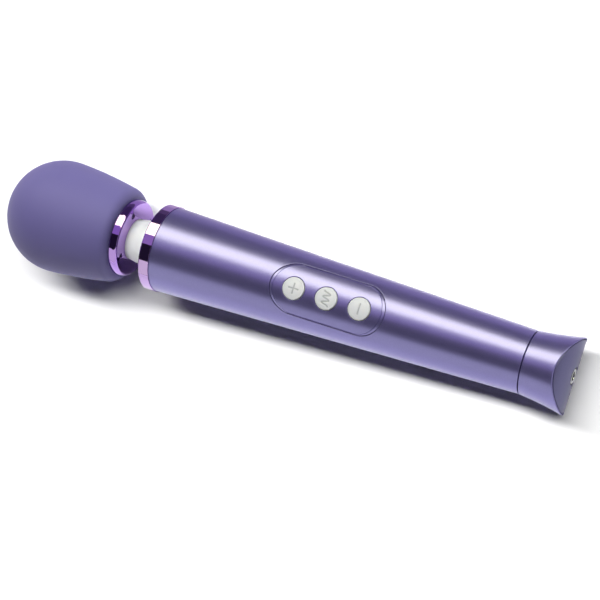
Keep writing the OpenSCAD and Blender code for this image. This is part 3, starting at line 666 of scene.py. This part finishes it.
def make_neck():
    front_x0 = low("neck_sleeve").x
    rear_x1 = high("neck_sleeve").x
    front_lip_r = 10.4 * MM
    rear_lip_r = 12.6 * MM
    rear_lip_x = RING_X0 + 1.65 * MM
    bore_steps = 16
    front_bore = spread_count(NECK_X, front_x0, bore_steps)[:-1]
    rear_bore = spread_count(rear_x1, NECK_X, bore_steps)[1:]
    front_wall = [(x, neck_radius(x)) for x in spread(FLANGE_X1, NECK_X, 0.35 * MM)]
    front = rounded([
        (front_x0, SLEEVE_R_IN, 0.1 * MM), (front_x0, front_lip_r, 0.2 * MM),
        (FLANGE_X0 - FIT, front_lip_r, 0.1 * MM), (FLANGE_X0 - FIT, NECK_R0, 0),
    ]) + front_wall + [(x, SLEEVE_R_IN) for x in front_bore]
    rear_wall = [(x, neck_radius(x) + bead(x)) for x in spread(NECK_X, RING_X0, 0.2 * MM)]
    rear = rear_wall + rounded([
        (rear_lip_x, NECK_R1 - 0.15 * MM, 0), (rear_lip_x, rear_lip_r, 0.2 * MM),
        (rear_x1, rear_lip_r, 0.2 * MM), (rear_x1, SLEEVE_R_IN, 0.1 * MM),
    ]) + [(x, SLEEVE_R_IN) for x in rear_bore]
    bend(turned("neck_front", front), turned("neck_rear", rear), "white_silicone", "neck_sleeve")


def bend(front, rear, slot, node_name):
    """Two halves of one flexible piece, which meet on the hinges.

    Both take the slot's material in the place of the CAD node, and their placement is baked into
    their meshes.
    """
    dress(front, slot, node_name)
    dress(rear, slot, node_name)
    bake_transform(front)
    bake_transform(rear)


def wire(path, radius):
    """Round wire swept along a list of points, with flat ends."""
    sides = 12
    points = [Vector(p) for p in path]
    corners = []
    for i, point in enumerate(points):
        run = (points[min(i + 1, len(points) - 1)] - points[max(i - 1, 0)]).normalized()
        across = Vector((1, 0.01, 0.02)).cross(run).normalized()
        if abs(run.x) > 0.9:
            across = Vector((0, 0, 1)).cross(run).normalized()
        up = run.cross(across)
        for k in range(sides):
            a = 2 * pi * k / sides
            corners.append(point + radius * (across * cos(a) + up * sin(a)))
    faces = [
        (i * sides + k, (i + 1) * sides + k,
         (i + 1) * sides + (k + 1) % sides, i * sides + (k + 1) % sides)
        for i in range(len(points) - 1) for k in range(sides)
    ]
    last = (len(points) - 1) * sides
    return corners, faces + [tuple(range(sides)), tuple(last + k for k in range(sides))]


def make_spring():
    coil_r = 5.6 * MM
    wire_r = 0.6 * MM
    turns = 9
    per_turn = 32
    x0 = low("neck_spring").x + wire_r
    x1 = high("neck_spring").x - wire_r
    coil = [
        (x0 + (x1 - x0) * i / (turns * per_turn),
         coil_r * cos(2 * pi * i / per_turn), coil_r * sin(2 * pi * i / per_turn))
        for i in range(turns * per_turn + 1)
    ]
    middle = min(range(len(coil)), key=lambda i: abs(coil[i][0] - NECK_X))
    bend(joined("spring_front", [wire(coil[:middle + 1], wire_r)]),
         joined("spring_rear", [wire(coil[middle:], wire_r)]), "bright_steel", "neck_spring")


def make_neck_leads():
    lead_r = 0.6 * MM
    lead_y = 1.4 * MM
    x0 = low("neck_leads").x
    x1 = high("neck_leads").x
    step = 0.8 * MM

    def pair(name, stations):
        paths = [[(x, y, 0) for x in stations] for y in (-lead_y, lead_y)]
        return joined(name, [wire(path, lead_r) for path in paths])

    bend(pair("lead_pair_front", spread(x0, NECK_X, step)),
         pair("lead_pair_rear", spread(NECK_X, x1, step)), "lead_red", "neck_leads")


make_neck()
make_spring()
make_neck_leads()

# ------------------------ ring

RING_MOUTH_R = 10.3 * MM
RING_CHAMFER = 0.5 * MM


def make_ring():
    spigot_x = high("front_ring").x
    spigot_r = HANDLE_R0 - HANDLE_WALL - 0.25 * MM
    bore_x = RING_X0 + 1.6 * MM
    bore_r = 13 * MM
    ring = turned("mirror_ring", rounded([
        (RING_X0, RING_MOUTH_R, 0.35 * MM),
        (RING_X0, RING_R - RING_CHAMFER, 0.12 * MM),
        (RING_X0 + RING_CHAMFER, RING_R, 0.12 * MM),
        (RING_X1, RING_R, 0.12 * MM),
        (RING_X1, spigot_r, 0.05 * MM),
        (spigot_x, spigot_r, 0.2 * MM),
        (spigot_x, bore_r, 0.1 * MM),
        (bore_x, bore_r, 0.1 * MM),
        (bore_x, RING_MOUTH_R, 0.2 * MM),
    ]))
    pilot_x = bore_x + 0.4 * MM
    past_x = spigot_x + 1 * MM
    pilot_r = 0.8 * MM
    pilot_circle = 14.6 * MM
    pilot_turn = 32
    pilots = 3
    pilot = turned_mesh(
        [(pilot_x, 0), (pilot_x, pilot_r), (past_x, pilot_r), (past_x, 0)], pilot_turn
    )
    for i in range(pilots):
        shift = outward(pilot_circle, 2 * pi * i / pilots)
        carved(ring, f"pilot_{i}", *moved(pilot, shift))
    dress(ring, "purple_mirror", "front_ring", body="handle")


make_ring()

# ------------------------ handle

PANEL_LIP = 1.5 * MM
PANEL_GAP = 0.2 * MM
PANEL_T = 2.2 * MM
PANEL_LIP_SINK = PANEL_T - 0.55 * MM
PANEL_X = (low("control_panel").x + high("control_panel").x) / 2
PANEL_HALF_LEN = (high("control_panel").x - low("control_panel").x) / 2 - PANEL_LIP
PANEL_HALF_W = 10.45 * MM
PANEL_REACH = PANEL_HALF_LEN - PANEL_HALF_W
PANEL_SPAN = radians(52)         # the opening lies within this angle from the top
PANEL_MARGIN = 2 * MM
MEAN_R = (HANDLE_R0 + HANDLE_R1) / 2
SHELL_EDGE = 0.12 * MM


def on_handle(x, angle, depth):
    r = handle_radius(x) - depth
    return x, r * sin(angle), r * cos(angle)


def over_handle(x, y, depth):
    """Point under the plan position x, y at a depth below the handle's surface."""
    return on_handle(x, asin(y / handle_radius(x)), depth)


def outside_slot(x, y, reach, half_w):
    """Distance outside a round-ended slot about the panel's middle, negative inside."""
    return hypot(max(abs(x - PANEL_X) - reach, 0), y) - half_w


def slot_loop(reach, half_w):
    """Round-ended loop about the panel's middle."""
    steps = 56
    turn = [pi * k / steps for k in range(steps + 1)]
    right = [(PANEL_X + reach + half_w * sin(a), half_w * cos(a)) for a in turn]
    left = [(PANEL_X - reach - half_w * sin(a), -half_w * cos(a)) for a in turn]
    straight = spread(-reach, reach, 2 * MM)[1:-1]
    bottom = [(PANEL_X - s, -half_w) for s in straight]
    top = [(PANEL_X + s, half_w) for s in straight]
    return right + bottom + left + top


def circle(x, radius):
    turn = [2 * pi * k / SMALL_TURN for k in range(SMALL_TURN)]
    return [(x + radius * cos(a), radius * sin(a)) for a in turn]


def near_panel(step):
    """Stations along the wand that cover the panel."""
    reach = PANEL_HALF_LEN + PANEL_MARGIN
    return spread(PANEL_X - reach, PANEL_X + reach, step)


def make_shell():
    """Tapered shell with a rounded opening for the panel. Its plane is (x, angle times MEAN_R)."""
    x0 = low("handle_shell").x
    seam_edge = 0.2 * MM
    ends = [x0 + seam_edge * f for f in FILLET_AT]
    ends += [SEAM_X - seam_edge * f for f in FILLET_AT[::-1]]
    near = near_panel(2 * MM)
    rows = []
    for k in range(-TURN // 2, TURN // 2 + 1):
        angle = 2 * pi * k / TURN
        stations = ends + near if abs(angle) < PANEL_SPAN else ends
        rows.append([(x, angle * MEAN_R) for x in sorted(stations)])
    loops = []
    for f in FILLET_AT:
        loop = slot_loop(PANEL_REACH, PANEL_HALF_W + SHELL_EDGE * f)
        loops.append([(x, asin(y / handle_radius(x)) * MEAN_R) for x, y in loop])

    def beside_opening(x, s):
        angle = s / MEAN_R
        if abs(angle) > pi / 2:
            return 1
        return outside_slot(x, handle_radius(x) * sin(angle), PANEL_REACH, PANEL_HALF_W)

    def top(x, s, region):
        drop = edge_drop(x - x0, seam_edge) + edge_drop(SEAM_X - x, seam_edge)
        drop += edge_drop(beside_opening(x, s), SHELL_EDGE)
        return on_handle(x, s / MEAN_R, drop)

    def bottom(x, s):
        return on_handle(x, s / MEAN_R, HANDLE_WALL)

    def is_seam(a, b):
        return min(abs(a[1]), abs(b[1])) > pi * MEAN_R - WELD

    points, faces = triangles(rows, loops, lambda x, s: beside_opening(x, s) > 0)
    parts = stepped(points, faces, lambda x, s: 0, top, bottom, is_seam)
    dress(joined("grip_shell", [parts]), "purple_metallic", "handle_shell", body="handle")


make_shell()

# ------------------------ panel and buttons

BUTTON_LIP = 0.85 * MM
BUTTON_NODES = {"plus": "button_plus", "mode": "button_mode", "minus": "button_minus"}
BUTTON_R = high("button_plus").y - BUTTON_LIP
BUTTON_GAP = 0.25 * MM
BUTTON_LIFT = 0.35 * MM


def button_x(key):
    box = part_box(BUTTON_NODES[key])
    return (box[0].x + box[1].x) / 2


BORDER_END = 1.25 * MM           # width of the sloping border at the panel's round ends
BORDER_SIDE = 0.32 * MM          # and along its sides
BORDER_DROP = 0.16 * MM
GROOVE_HALF_W = 0.11 * MM
GROOVE_DEPTH = 0.18 * MM
PANEL_EDGE = 0.12 * MM
HOLE_EDGE = 0.15 * MM


def make_panel():
    half_w = PANEL_HALF_W - PANEL_GAP
    inner_half_w = half_w - BORDER_SIDE
    inner_reach = PANEL_REACH + half_w - BORDER_END - inner_half_w
    hole_r = BUTTON_R + BUTTON_GAP
    xs = [button_x(key) for key in BUTTON_NODES]
    lip_half_w = PANEL_HALF_W + PANEL_LIP
    along = near_panel(1.5 * MM)
    rows = [[(x, y) for x in along] for y in spread(-lip_half_w, lip_half_w, 0.4 * MM)]
    loops = [slot_loop(PANEL_REACH, lip_half_w)]
    loops += [slot_loop(PANEL_REACH, half_w - PANEL_EDGE * f) for f in FILLET_AT]
    loops += [slot_loop(inner_reach, inner_half_w + GROOVE_HALF_W * side) for side in (-1, 0, 1)]
    loops += [circle(x, hole_r + HOLE_EDGE * f) for x in xs for f in FILLET_AT]

    def beside_holes(x, y):
        return min(hypot(x - hole_x, y) for hole_x in xs) - hole_r

    def kept(x, y):
        return beside_holes(x, y) > 0 and outside_slot(x, y, PANEL_REACH, lip_half_w) < 0

    def region_of(x, y):
        return "lip" if outside_slot(x, y, PANEL_REACH, half_w) > 0 else "face"

    def top(x, y, region):
        if region == "lip":
            return over_handle(x, y, PANEL_LIP_SINK)
        outer = outside_slot(x, y, PANEL_REACH, half_w)
        inner = outside_slot(x, y, inner_reach, inner_half_w)
        drop = edge_drop(-outer, PANEL_EDGE) + edge_drop(beside_holes(x, y), HOLE_EDGE)
        drop += GROOVE_DEPTH * max(1 - abs(inner) / GROOVE_HALF_W, 0)
        if inner > 0:
            drop += BORDER_DROP * inner / max(inner - outer, WELD)
        return over_handle(x, y, drop)

    points, faces = triangles(rows, loops, kept)
    parts = stepped(points, faces, region_of, top, lambda x, y: over_handle(x, y, PANEL_T))
    dress(joined("keypad_panel", [parts]), "purple_metallic", "control_panel", body="handle")


def segment_distance(x, y, ax, ay, bx, by):
    along = ((x - ax) * (bx - ax) + (y - ay) * (by - ay)) / ((bx - ax) ** 2 + (by - ay) ** 2)
    along = min(max(along, 0), 1)
    return hypot(x - ax - along * (bx - ax), y - ay - along * (by - ay))


MARK_REACH = 2 * MM
WAVE_REACH = 2.9 * MM
WAVE_SWING = 1.4 * MM
WAVE_PERIODS = 2.5


def wave_points():
    """Rounded zigzag across the button, from one side of the wand to the other."""
    return [
        (-WAVE_SWING * cos(2 * pi * WAVE_PERIODS * share), WAVE_REACH - 2 * WAVE_REACH * share)
        for share in spread_count(0, 1, 60)
    ]


MARKS = {
    "plus": [((-MARK_REACH, 0), (MARK_REACH, 0)), ((0, -MARK_REACH), (0, MARK_REACH))],
    "mode": list(zip(wave_points(), wave_points()[1:])),
    "minus": [((0, -MARK_REACH), (0, MARK_REACH))],
}
MARK_DEPTH = 0.2 * MM
MARK_HALF_W = 0.33 * MM
MARK_FOOT = 1.5                  # the wall of a mark starts this many half widths from its middle
MARK_WALL = 1.1                  # and is this many half widths across
DISH_R = 3.85 * MM
DISH_WALL = 0.6 * MM
DISH_DEPTH = 0.1 * MM
BUTTON_EDGE = 0.4 * MM
LIP_PLAY = 0.12 * MM
LIP_T = 0.65 * MM
STEM_R = 2 * MM


def smooth_step(t):
    t = min(max(t, 0), 1)
    return t * t * (3 - 2 * t)


def make_button(key):
    cx = button_x(key)
    lip_r = BUTTON_R + BUTTON_LIP
    under = sqrt((handle_radius(cx + lip_r) - PANEL_T) ** 2 - lip_r ** 2)
    lip_z1 = under - LIP_PLAY
    lip_z0 = lip_z1 - LIP_T
    stem_z0 = low(BUTTON_NODES[key]).z
    grid = spread(-BUTTON_R, BUTTON_R, 0.14 * MM)
    flat_r = BUTTON_R - BUTTON_EDGE * 1.3
    rows = [[(cx + a, b) for a in grid if hypot(a, b) < flat_r] for b in grid]
    rows = [row for row in rows if len(row) > 1]
    loops = [circle(cx, lip_r)] + [circle(cx, BUTTON_R - BUTTON_EDGE * f) for f in FILLET_AT]

    def mark(x, y):
        near = min(segment_distance(x - cx, y, *a, *b) for a, b in MARKS[key])
        return smooth_step((MARK_HALF_W * MARK_FOOT - near) / (MARK_HALF_W * MARK_WALL))

    def region_of(x, y):
        return "top" if hypot(x - cx, y) < BUTTON_R else "lip"

    def top(x, y, region):
        if region == "lip":
            return x, y, lip_z1
        r = hypot(x - cx, y)
        drop = edge_drop(BUTTON_R - r, BUTTON_EDGE) + MARK_DEPTH * mark(x, y)
        drop += DISH_DEPTH * smooth_step((DISH_R + DISH_WALL / 2 - r) / DISH_WALL)
        return over_handle(x, y, drop - BUTTON_LIFT)

    points, faces = triangles(rows, loops, lambda x, y: hypot(x - cx, y) < lip_r)
    cap = stepped(points, faces, region_of, top, lambda x, y: (x, y, lip_z0))
    stem_z1 = lip_z0 + 0.1 * MM
    stem = rounded([
        (stem_z0, 0, 0), (stem_z0, STEM_R, 0.2 * MM), (stem_z1, STEM_R, 0), (stem_z1, 0, 0),
    ])
    piece = joined(f"key_{key}", [cap, upright(turned_mesh(stem, TINY_TURN), cx, 0)])
    # painted shade: how far into a sunken mark each point lies, which the material turns greyer
    mark_shade = piece.data.attributes.new("mark", "FLOAT", "POINT")
    places = [v.co for v in piece.data.vertices]
    mark_shade.data.foreach_set("value", [mark(p.x, p.y) if p.z > lip_z1 else 0 for p in places])
    dress(piece, "white_silicone", BUTTON_NODES[key], body=f"{key}_key")


make_panel()
for key in BUTTON_NODES:
    make_button(key)

# ------------------------ tail

FLARE_SLOPE = 0.09
FLARE_CURVE = 3.3                # per metre
END_FACE_R = 22 * MM
END_FACE_CX = TAIL_X - END_FACE_R
RIM_WALL = 0.45 * MM
PLATE_GAP = 0.4 * MM
PORT_R = 2.1 * MM
PORT_HOLE_R = PORT_R + 1.74 * MM
SPIGOT_BORE_R = 9.4 * MM
WEB_SCREW_R = 1.05 * MM
WEB_SCREW_Y = 7.2 * MM


def flare_radius(x):
    return HANDLE_R1 + FLARE_SLOPE * (x - SEAM_X) + FLARE_CURVE * (x - SEAM_X) ** 2


def end_face_x(r, angle):
    """Where the curved end face lies at a radius and angle about the axis."""
    return END_FACE_CX + sqrt(END_FACE_R ** 2 - (r * cos(angle)) ** 2)


def rim_at(angle):
    """The corner (x, r) where the flare meets the end face."""
    x = TAIL_X
    for _ in range(20):
        x = end_face_x(flare_radius(x), angle)
    return x, flare_radius(x)


def make_cap():
    seam_edge = 0.2 * MM
    wall = 1.6 * MM
    rim_edge = 0.18 * MM
    spigot_x0 = low("tail_cap").x
    spigot_r = HANDLE_R1 - HANDLE_WALL - 0.2 * MM
    web_x1 = CAP_X0 + 2 * MM
    groove_x0 = spigot_x0 + 2 * MM
    groove_x1 = groove_x0 + 1.5 * MM
    groove_r = spigot_r - 0.9 * MM

    def section(angle):
        rim_x, rim_r = rim_at(angle)
        inner_r = rim_r - RIM_WALL
        inner_x = end_face_x(inner_r, angle)
        start_x = CAP_X0 + 1.2 * MM
        flare = [(x, flare_radius(x)) for x in spread_count(start_x, rim_x - 0.6 * MM, 40)]
        rim = rounded([
            (*flare[-1], 0), (rim_x, rim_r, rim_edge), (inner_x, inner_r, 0.12 * MM),
            (inner_x - 2.2 * MM, inner_r - 0.25 * MM, 0), (inner_x - 2.6 * MM, inner_r - 1 * MM, 0),
        ])[1:]
        inside_xs = spread_count(inner_x - 3.2 * MM, web_x1 + 0.4 * MM, 12)
        inside = [(x, flare_radius(x) - wall) for x in inside_xs]
        front = rounded([
            (web_x1, flare_radius(web_x1) - wall, 0), (web_x1, PORT_HOLE_R, 0.1 * MM),
            (CAP_X0, PORT_HOLE_R, 0.1 * MM), (CAP_X0, SPIGOT_BORE_R, 0),
            (spigot_x0, SPIGOT_BORE_R, 0.1 * MM), (spigot_x0, spigot_r, 0.3 * MM),
            (groove_x0, spigot_r, 0.08 * MM), (groove_x0, groove_r, 0.08 * MM),
            (groove_x1, groove_r, 0.08 * MM), (groove_x1, spigot_r, 0.08 * MM),
            (CAP_X0, spigot_r, 0), (CAP_X0, HANDLE_R1 + FLARE_SLOPE * (CAP_X0 - SEAM_X), seam_edge),
            (start_x, flare_radius(start_x), 0),
        ])[:-1]
        return flare + [tuple(p) for p in rim] + inside + [tuple(p) for p in front]

    cap = turned("tail_flare", section)
    hole_x0 = CAP_X0 - 1 * MM
    hole_x1 = web_x1 + 1 * MM
    hole = turned_mesh(
        [(hole_x0, 0), (hole_x0, WEB_SCREW_R), (hole_x1, WEB_SCREW_R), (hole_x1, 0)], TINY_TURN
    )
    for i, y in enumerate((-WEB_SCREW_Y, WEB_SCREW_Y)):
        carved(cap, f"screw_hole_{i}", *moved(hole, (0, y, 0)))
    dress(cap, "purple_metallic", "tail_cap", body="handle")


def make_end_face():
    edge = 0.15 * MM
    sink = 0.1 * MM
    thickness = 1.5 * MM

    def section(angle):
        rim_r = rim_at(angle)[1] - RIM_WALL - PLATE_GAP
        stations = [PORT_HOLE_R + edge * f for f in FILLET_AT]
        stations += spread_count(PORT_HOLE_R + 0.6 * MM, rim_r - 0.6 * MM, 24)
        stations += [rim_r - edge * f for f in FILLET_AT[::-1]]
        face = []
        for r in stations:
            drop = sink + edge_drop(r - PORT_HOLE_R, edge) + edge_drop(rim_r - r, edge)
            face.append((end_face_x(r, angle) - drop, r))
        back_rs = spread_count(rim_r, PORT_HOLE_R, 12)
        return face + [(end_face_x(r, angle) - sink - thickness, r) for r in back_rs]

    dress(turned("end_face", section), "purple_satin", "end_plate", body="handle")


HOUSING_R = PORT_HOLE_R - 0.14 * MM
HOUSING_FLANGE_R = PORT_HOLE_R + 1.4 * MM
HOUSING_FLANGE_T = 1.3 * MM
HOUSING_BORE_R = 3.1 * MM
CONTACT_R = 0.85 * MM
CONTACT_DEPTH = 3 * MM


def make_surround():
    """Black moulding that holds the inlet: flange, tube and blind hole for the pin."""
    x0 = low("port_housing").x
    x1 = high("port_housing").x
    flange_x1 = x0 + HOUSING_FLANGE_T
    well_x = low("port_sleeve").x - FIT
    contact_x = well_x - CONTACT_DEPTH
    dress(turned("port_surround", rounded([
        (x0, 0, 0), (x0, HOUSING_FLANGE_R, 0.15 * MM),
        (flange_x1, HOUSING_FLANGE_R, 0.15 * MM), (flange_x1, HOUSING_R, 0.1 * MM),
        (x1, HOUSING_R, 0.2 * MM), (x1, HOUSING_BORE_R, 0.15 * MM),
        (well_x, HOUSING_BORE_R, 0), (well_x, CONTACT_R, 0.06 * MM),
        (contact_x, CONTACT_R, 0), (contact_x, 0, 0),
    ]), SMALL_TURN), "black_abs", "port_housing", body="handle")


def make_barrel():
    """Bright barrel whose mouth is rolled inwards, and the pin that stands in its middle."""
    x0 = low("port_sleeve").x
    x1 = high("port_sleeve").x
    outer_r = high("port_sleeve").y
    inner_r = PORT_R + 0.25 * MM
    lip_x = x1 - 2.5 * MM
    dress(turned("port_barrel", rounded([
        (x0, inner_r, 0.05 * MM), (x0, outer_r, 0.1 * MM),
        (x1, outer_r, 0.28 * MM), (x1, PORT_R, 0.35 * MM),
        (lip_x, PORT_R, 0.08 * MM), (lip_x - 0.25 * MM, inner_r, 0.05 * MM),
    ]), SMALL_TURN), "port_nickel", "port_sleeve", body="handle")
    root_x = low("port_pin").x
    tip_x = high("port_pin").x
    pin_r = high("port_pin").y
    dress(turned("port_contact", rounded([
        (root_x, 0, 0), (root_x, pin_r, 0.1 * MM), (tip_x, pin_r, 0.55 * MM), (tip_x, 0, 0),
    ], 0.01 * MM), TINY_TURN), "port_nickel", "port_pin", body="handle")


make_cap()
make_end_face()
make_surround()
make_barrel()

# ------------------------ pieces that keep their CAD mesh

for subpart in frame["record"]["subparts"]:
    mesh = frame["nodes"][subpart["node"]].data
    mesh.materials.clear()
    mesh.materials.append(materials[subpart["material_slot"]])

# ------------------------ studio

FLOOR_TILT = 0.0418              # the floor touches the ball and the lower edge of the tail's rim
FLOOR_HALF = 4
FLOOR_GAP = 0.0001
FLOOR_GLOW_FROM = 0.35           # distances between which the glow comes up
FLOOR_GLOW_TO = 1.3
FLOOR_GLOW = 0.96
CARD_X = (-1.6, 1.2)
CARD_DISTANCE = 1.1
FLOOR_CARD_LIFT = 0.0008
LIGHT_DISTANCE = 1.4
WORLD_SEEN = 1.0                 # strength of the world to the camera,
WORLD_REFLECTED = 0.3            # in reflections,
WORLD_DIFFUSE = 0.02             # and on what it lights


def unseen_by_diffuse(tree, strength):
    """The strength, but nothing for light that would get to the floor by way of the wand."""
    depth = node(tree, "LightPath").outputs["Diffuse Depth"]
    return ramp(tree, depth, strength, 0)


def emitter(name, colour, strength):
    material = bpy.data.materials.new(name)
    material.use_nodes = True
    tree = material.node_tree
    tree.nodes.remove(tree.nodes["Principled BSDF"])
    level = unseen_by_diffuse(tree, strength)
    glow = node(tree, "Emission", {"Color": (*colour, 1), "Strength": level})
    tree.links.new(glow.outputs["Emission"], tree.nodes["Material Output"].inputs["Surface"])
    return material


def reflector(name, corners, faces, colour, strength):
    """Glowing mesh that is seen only in reflections."""
    mesh = bpy.data.meshes.new(name)
    mesh.from_pydata(corners, [], faces)
    piece = bpy.data.objects.new(name, mesh)
    scene.collection.objects.link(piece)
    mesh.materials.append(emitter(name, colour, strength))
    piece.visible_camera = False
    piece.visible_diffuse = False
    piece.visible_shadow = False
    piece.visible_transmission = False


def card(name, first, last, colour, strength=1):
    """Long curved card round the wand, between two angles from straight up towards +Y."""
    angles = [radians(a) for a in spread_count(first, last, 12)]
    rim = [(CARD_DISTANCE * sin(a), CARD_DISTANCE * cos(a)) for a in angles]
    corners = [(x, y, z) for y, z in rim for x in CARD_X]
    faces = [(2 * i, 2 * i + 1, 2 * i + 3, 2 * i + 2) for i in range(len(rim) - 1)]
    reflector(name, corners, faces, colour, strength)


def soft_light(name, angle, lean, width, length, energy):
    """Area light that leaves no reflection, long side along the wand.

    angle is from straight up towards +Y, and lean shifts the light along X.
    """
    data = bpy.data.lights.new(name, "AREA")
    data.shape = "RECTANGLE"
    data.size = length
    data.size_y = width
    data.energy = energy
    light = bpy.data.objects.new(name, data)
    scene.collection.objects.link(light)
    away = Vector((lean, sin(radians(angle)), cos(radians(angle)))).normalized()
    light.location = away * LIGHT_DISTANCE
    along = (Vector((1, 0, 0)) - away * away.x).normalized()
    axes = Matrix((along, away.cross(along), away)).transposed()
    light.rotation_mode = "QUATERNION"
    light.rotation_quaternion = axes.to_quaternion()
    light.visible_camera = False
    light.visible_glossy = False
    return light


def link_light(light, name, objects, state):
    """Keeps a light to the objects with INCLUDE, or off them with EXCLUDE."""
    group = bpy.data.collections.new(name)
    for i, thing in enumerate(objects):
        group.objects.link(thing)
        group.collection_objects[i].light_linking.link_state = state
    light.light_linking.receiver_collection = group


def floor_material():
    """Matt white that begins to glow away from the wand, where the lights no longer reach."""
    material = finish("floor", (0.97, 0.97, 0.97), 0.9, 0.4 * MM, 1e-6, 0.003, Specular_IOR_Level=0)
    tree = material.node_tree
    shader = tree.nodes["Principled BSDF"]
    place = node(tree, "TexCoord").outputs["Object"]
    away = node(tree, "VectorMath", {"Vector": place}, operation="LENGTH").outputs["Value"]
    glow = ramp(tree, away, 0, FLOOR_GLOW, FLOOR_GLOW_FROM, FLOOR_GLOW_TO)
    tree.links.new(glow, shader.inputs["Emission Strength"])
    shader.inputs["Emission Color"].default_value = (1, 1, 1, 1)
    return material


def make_floor():
    drop = -BALL_R * sqrt(1 + FLOOR_TILT ** 2) - FLOOR_GAP

    def height(x):
        return drop + FLOOR_TILT * (x - BALL_X)

    stations = spread_count(-FLOOR_HALF, FLOOR_HALF, 40)
    corners = [(x, y, height(x)) for x in stations for y in stations]
    count = len(stations)
    faces = [
        (i * count + j, (i + 1) * count + j, (i + 1) * count + j + 1, i * count + j + 1)
        for i in range(count - 1) for j in range(count - 1)
    ]
    mesh = bpy.data.meshes.new("floor")
    mesh.from_pydata(corners, [], faces)
    floor = bpy.data.objects.new("floor", mesh)
    scene.collection.objects.link(floor)
    mesh.materials.append(floor_material())
    return floor


def floor_card(name, y0, y1, colour):
    """Card that lies just over the floor beside the wand."""
    corners = [
        (x, y, FLOOR_TILT * (x - BALL_X) - BALL_R + FLOOR_CARD_LIFT)
        for x in CARD_X for y in (y0, y1)
    ]
    reflector(name, corners, [(0, 1, 3, 2)], colour, 1)


def make_world():
    """Dim to what is lit, a little brighter in reflections and white behind the floor."""
    world = bpy.data.worlds.new("world")
    scene.world = world
    world.use_nodes = True
    tree = world.node_tree
    ray = node(tree, "LightPath").outputs
    seen = ramp(tree, ray["Is Camera Ray"], WORLD_REFLECTED, WORLD_SEEN)
    level = ramp(tree, ray["Diffuse Depth"], seen, WORLD_DIFFUSE)
    background = tree.nodes["Background"]
    background.inputs["Color"].default_value = (0.97, 0.98, 1, 1)
    tree.links.new(level, background.inputs["Strength"])


def make_studio():
    make_world()
    scene.view_settings.view_transform = "Standard"
    floor = make_floor()
    neck = [bpy.data.objects["neck_front"], bpy.data.objects["neck_rear"]]
    floor_key = soft_light("floor_key", 16.5, -0.13, width=0.26, length=2.3, energy=36)
    wand_key = soft_light("wand_key", 34, -0.15, width=0.6, length=1.6, energy=17.4)
    wand_fill = soft_light("wand_fill", 5, -0.1, width=1.2, length=1.2, energy=3.3)
    neck_fill = soft_light("neck_fill", -35, -0.1, width=0.8, length=0.8, energy=6)
    link_light(floor_key, "floor_only", [floor], "INCLUDE")
    link_light(wand_key, "wand_key", [floor], "EXCLUDE")
    link_light(wand_fill, "wand_fill", [floor], "EXCLUDE")
    link_light(neck_fill, "neck_only", neck, "INCLUDE")
    card("strip", 22, 55.5, (0.95, 1, 0.59), 4.8)
    card("half_tone", -4, 22, (0.45, 0.32, 0.63))
    card("dark_top", -48, -4, (0.020, 0.015, 0.030))
    card("dark_side", 55.5, 92, (0.065, 0.047, 0.105))
    card("fill", -90, -48, (0.97, 1, 0.88), 1.09)
    floor_card("near_floor", 0.027, 0.045, (0.64, 0.56, 0.72))
    floor_card("middle_floor", 0.045, 0.11, (0.48, 0.40, 0.60))
    floor_card("far_floor", 0.11, 1.5, (0.13, 0.10, 0.18))


make_studio()
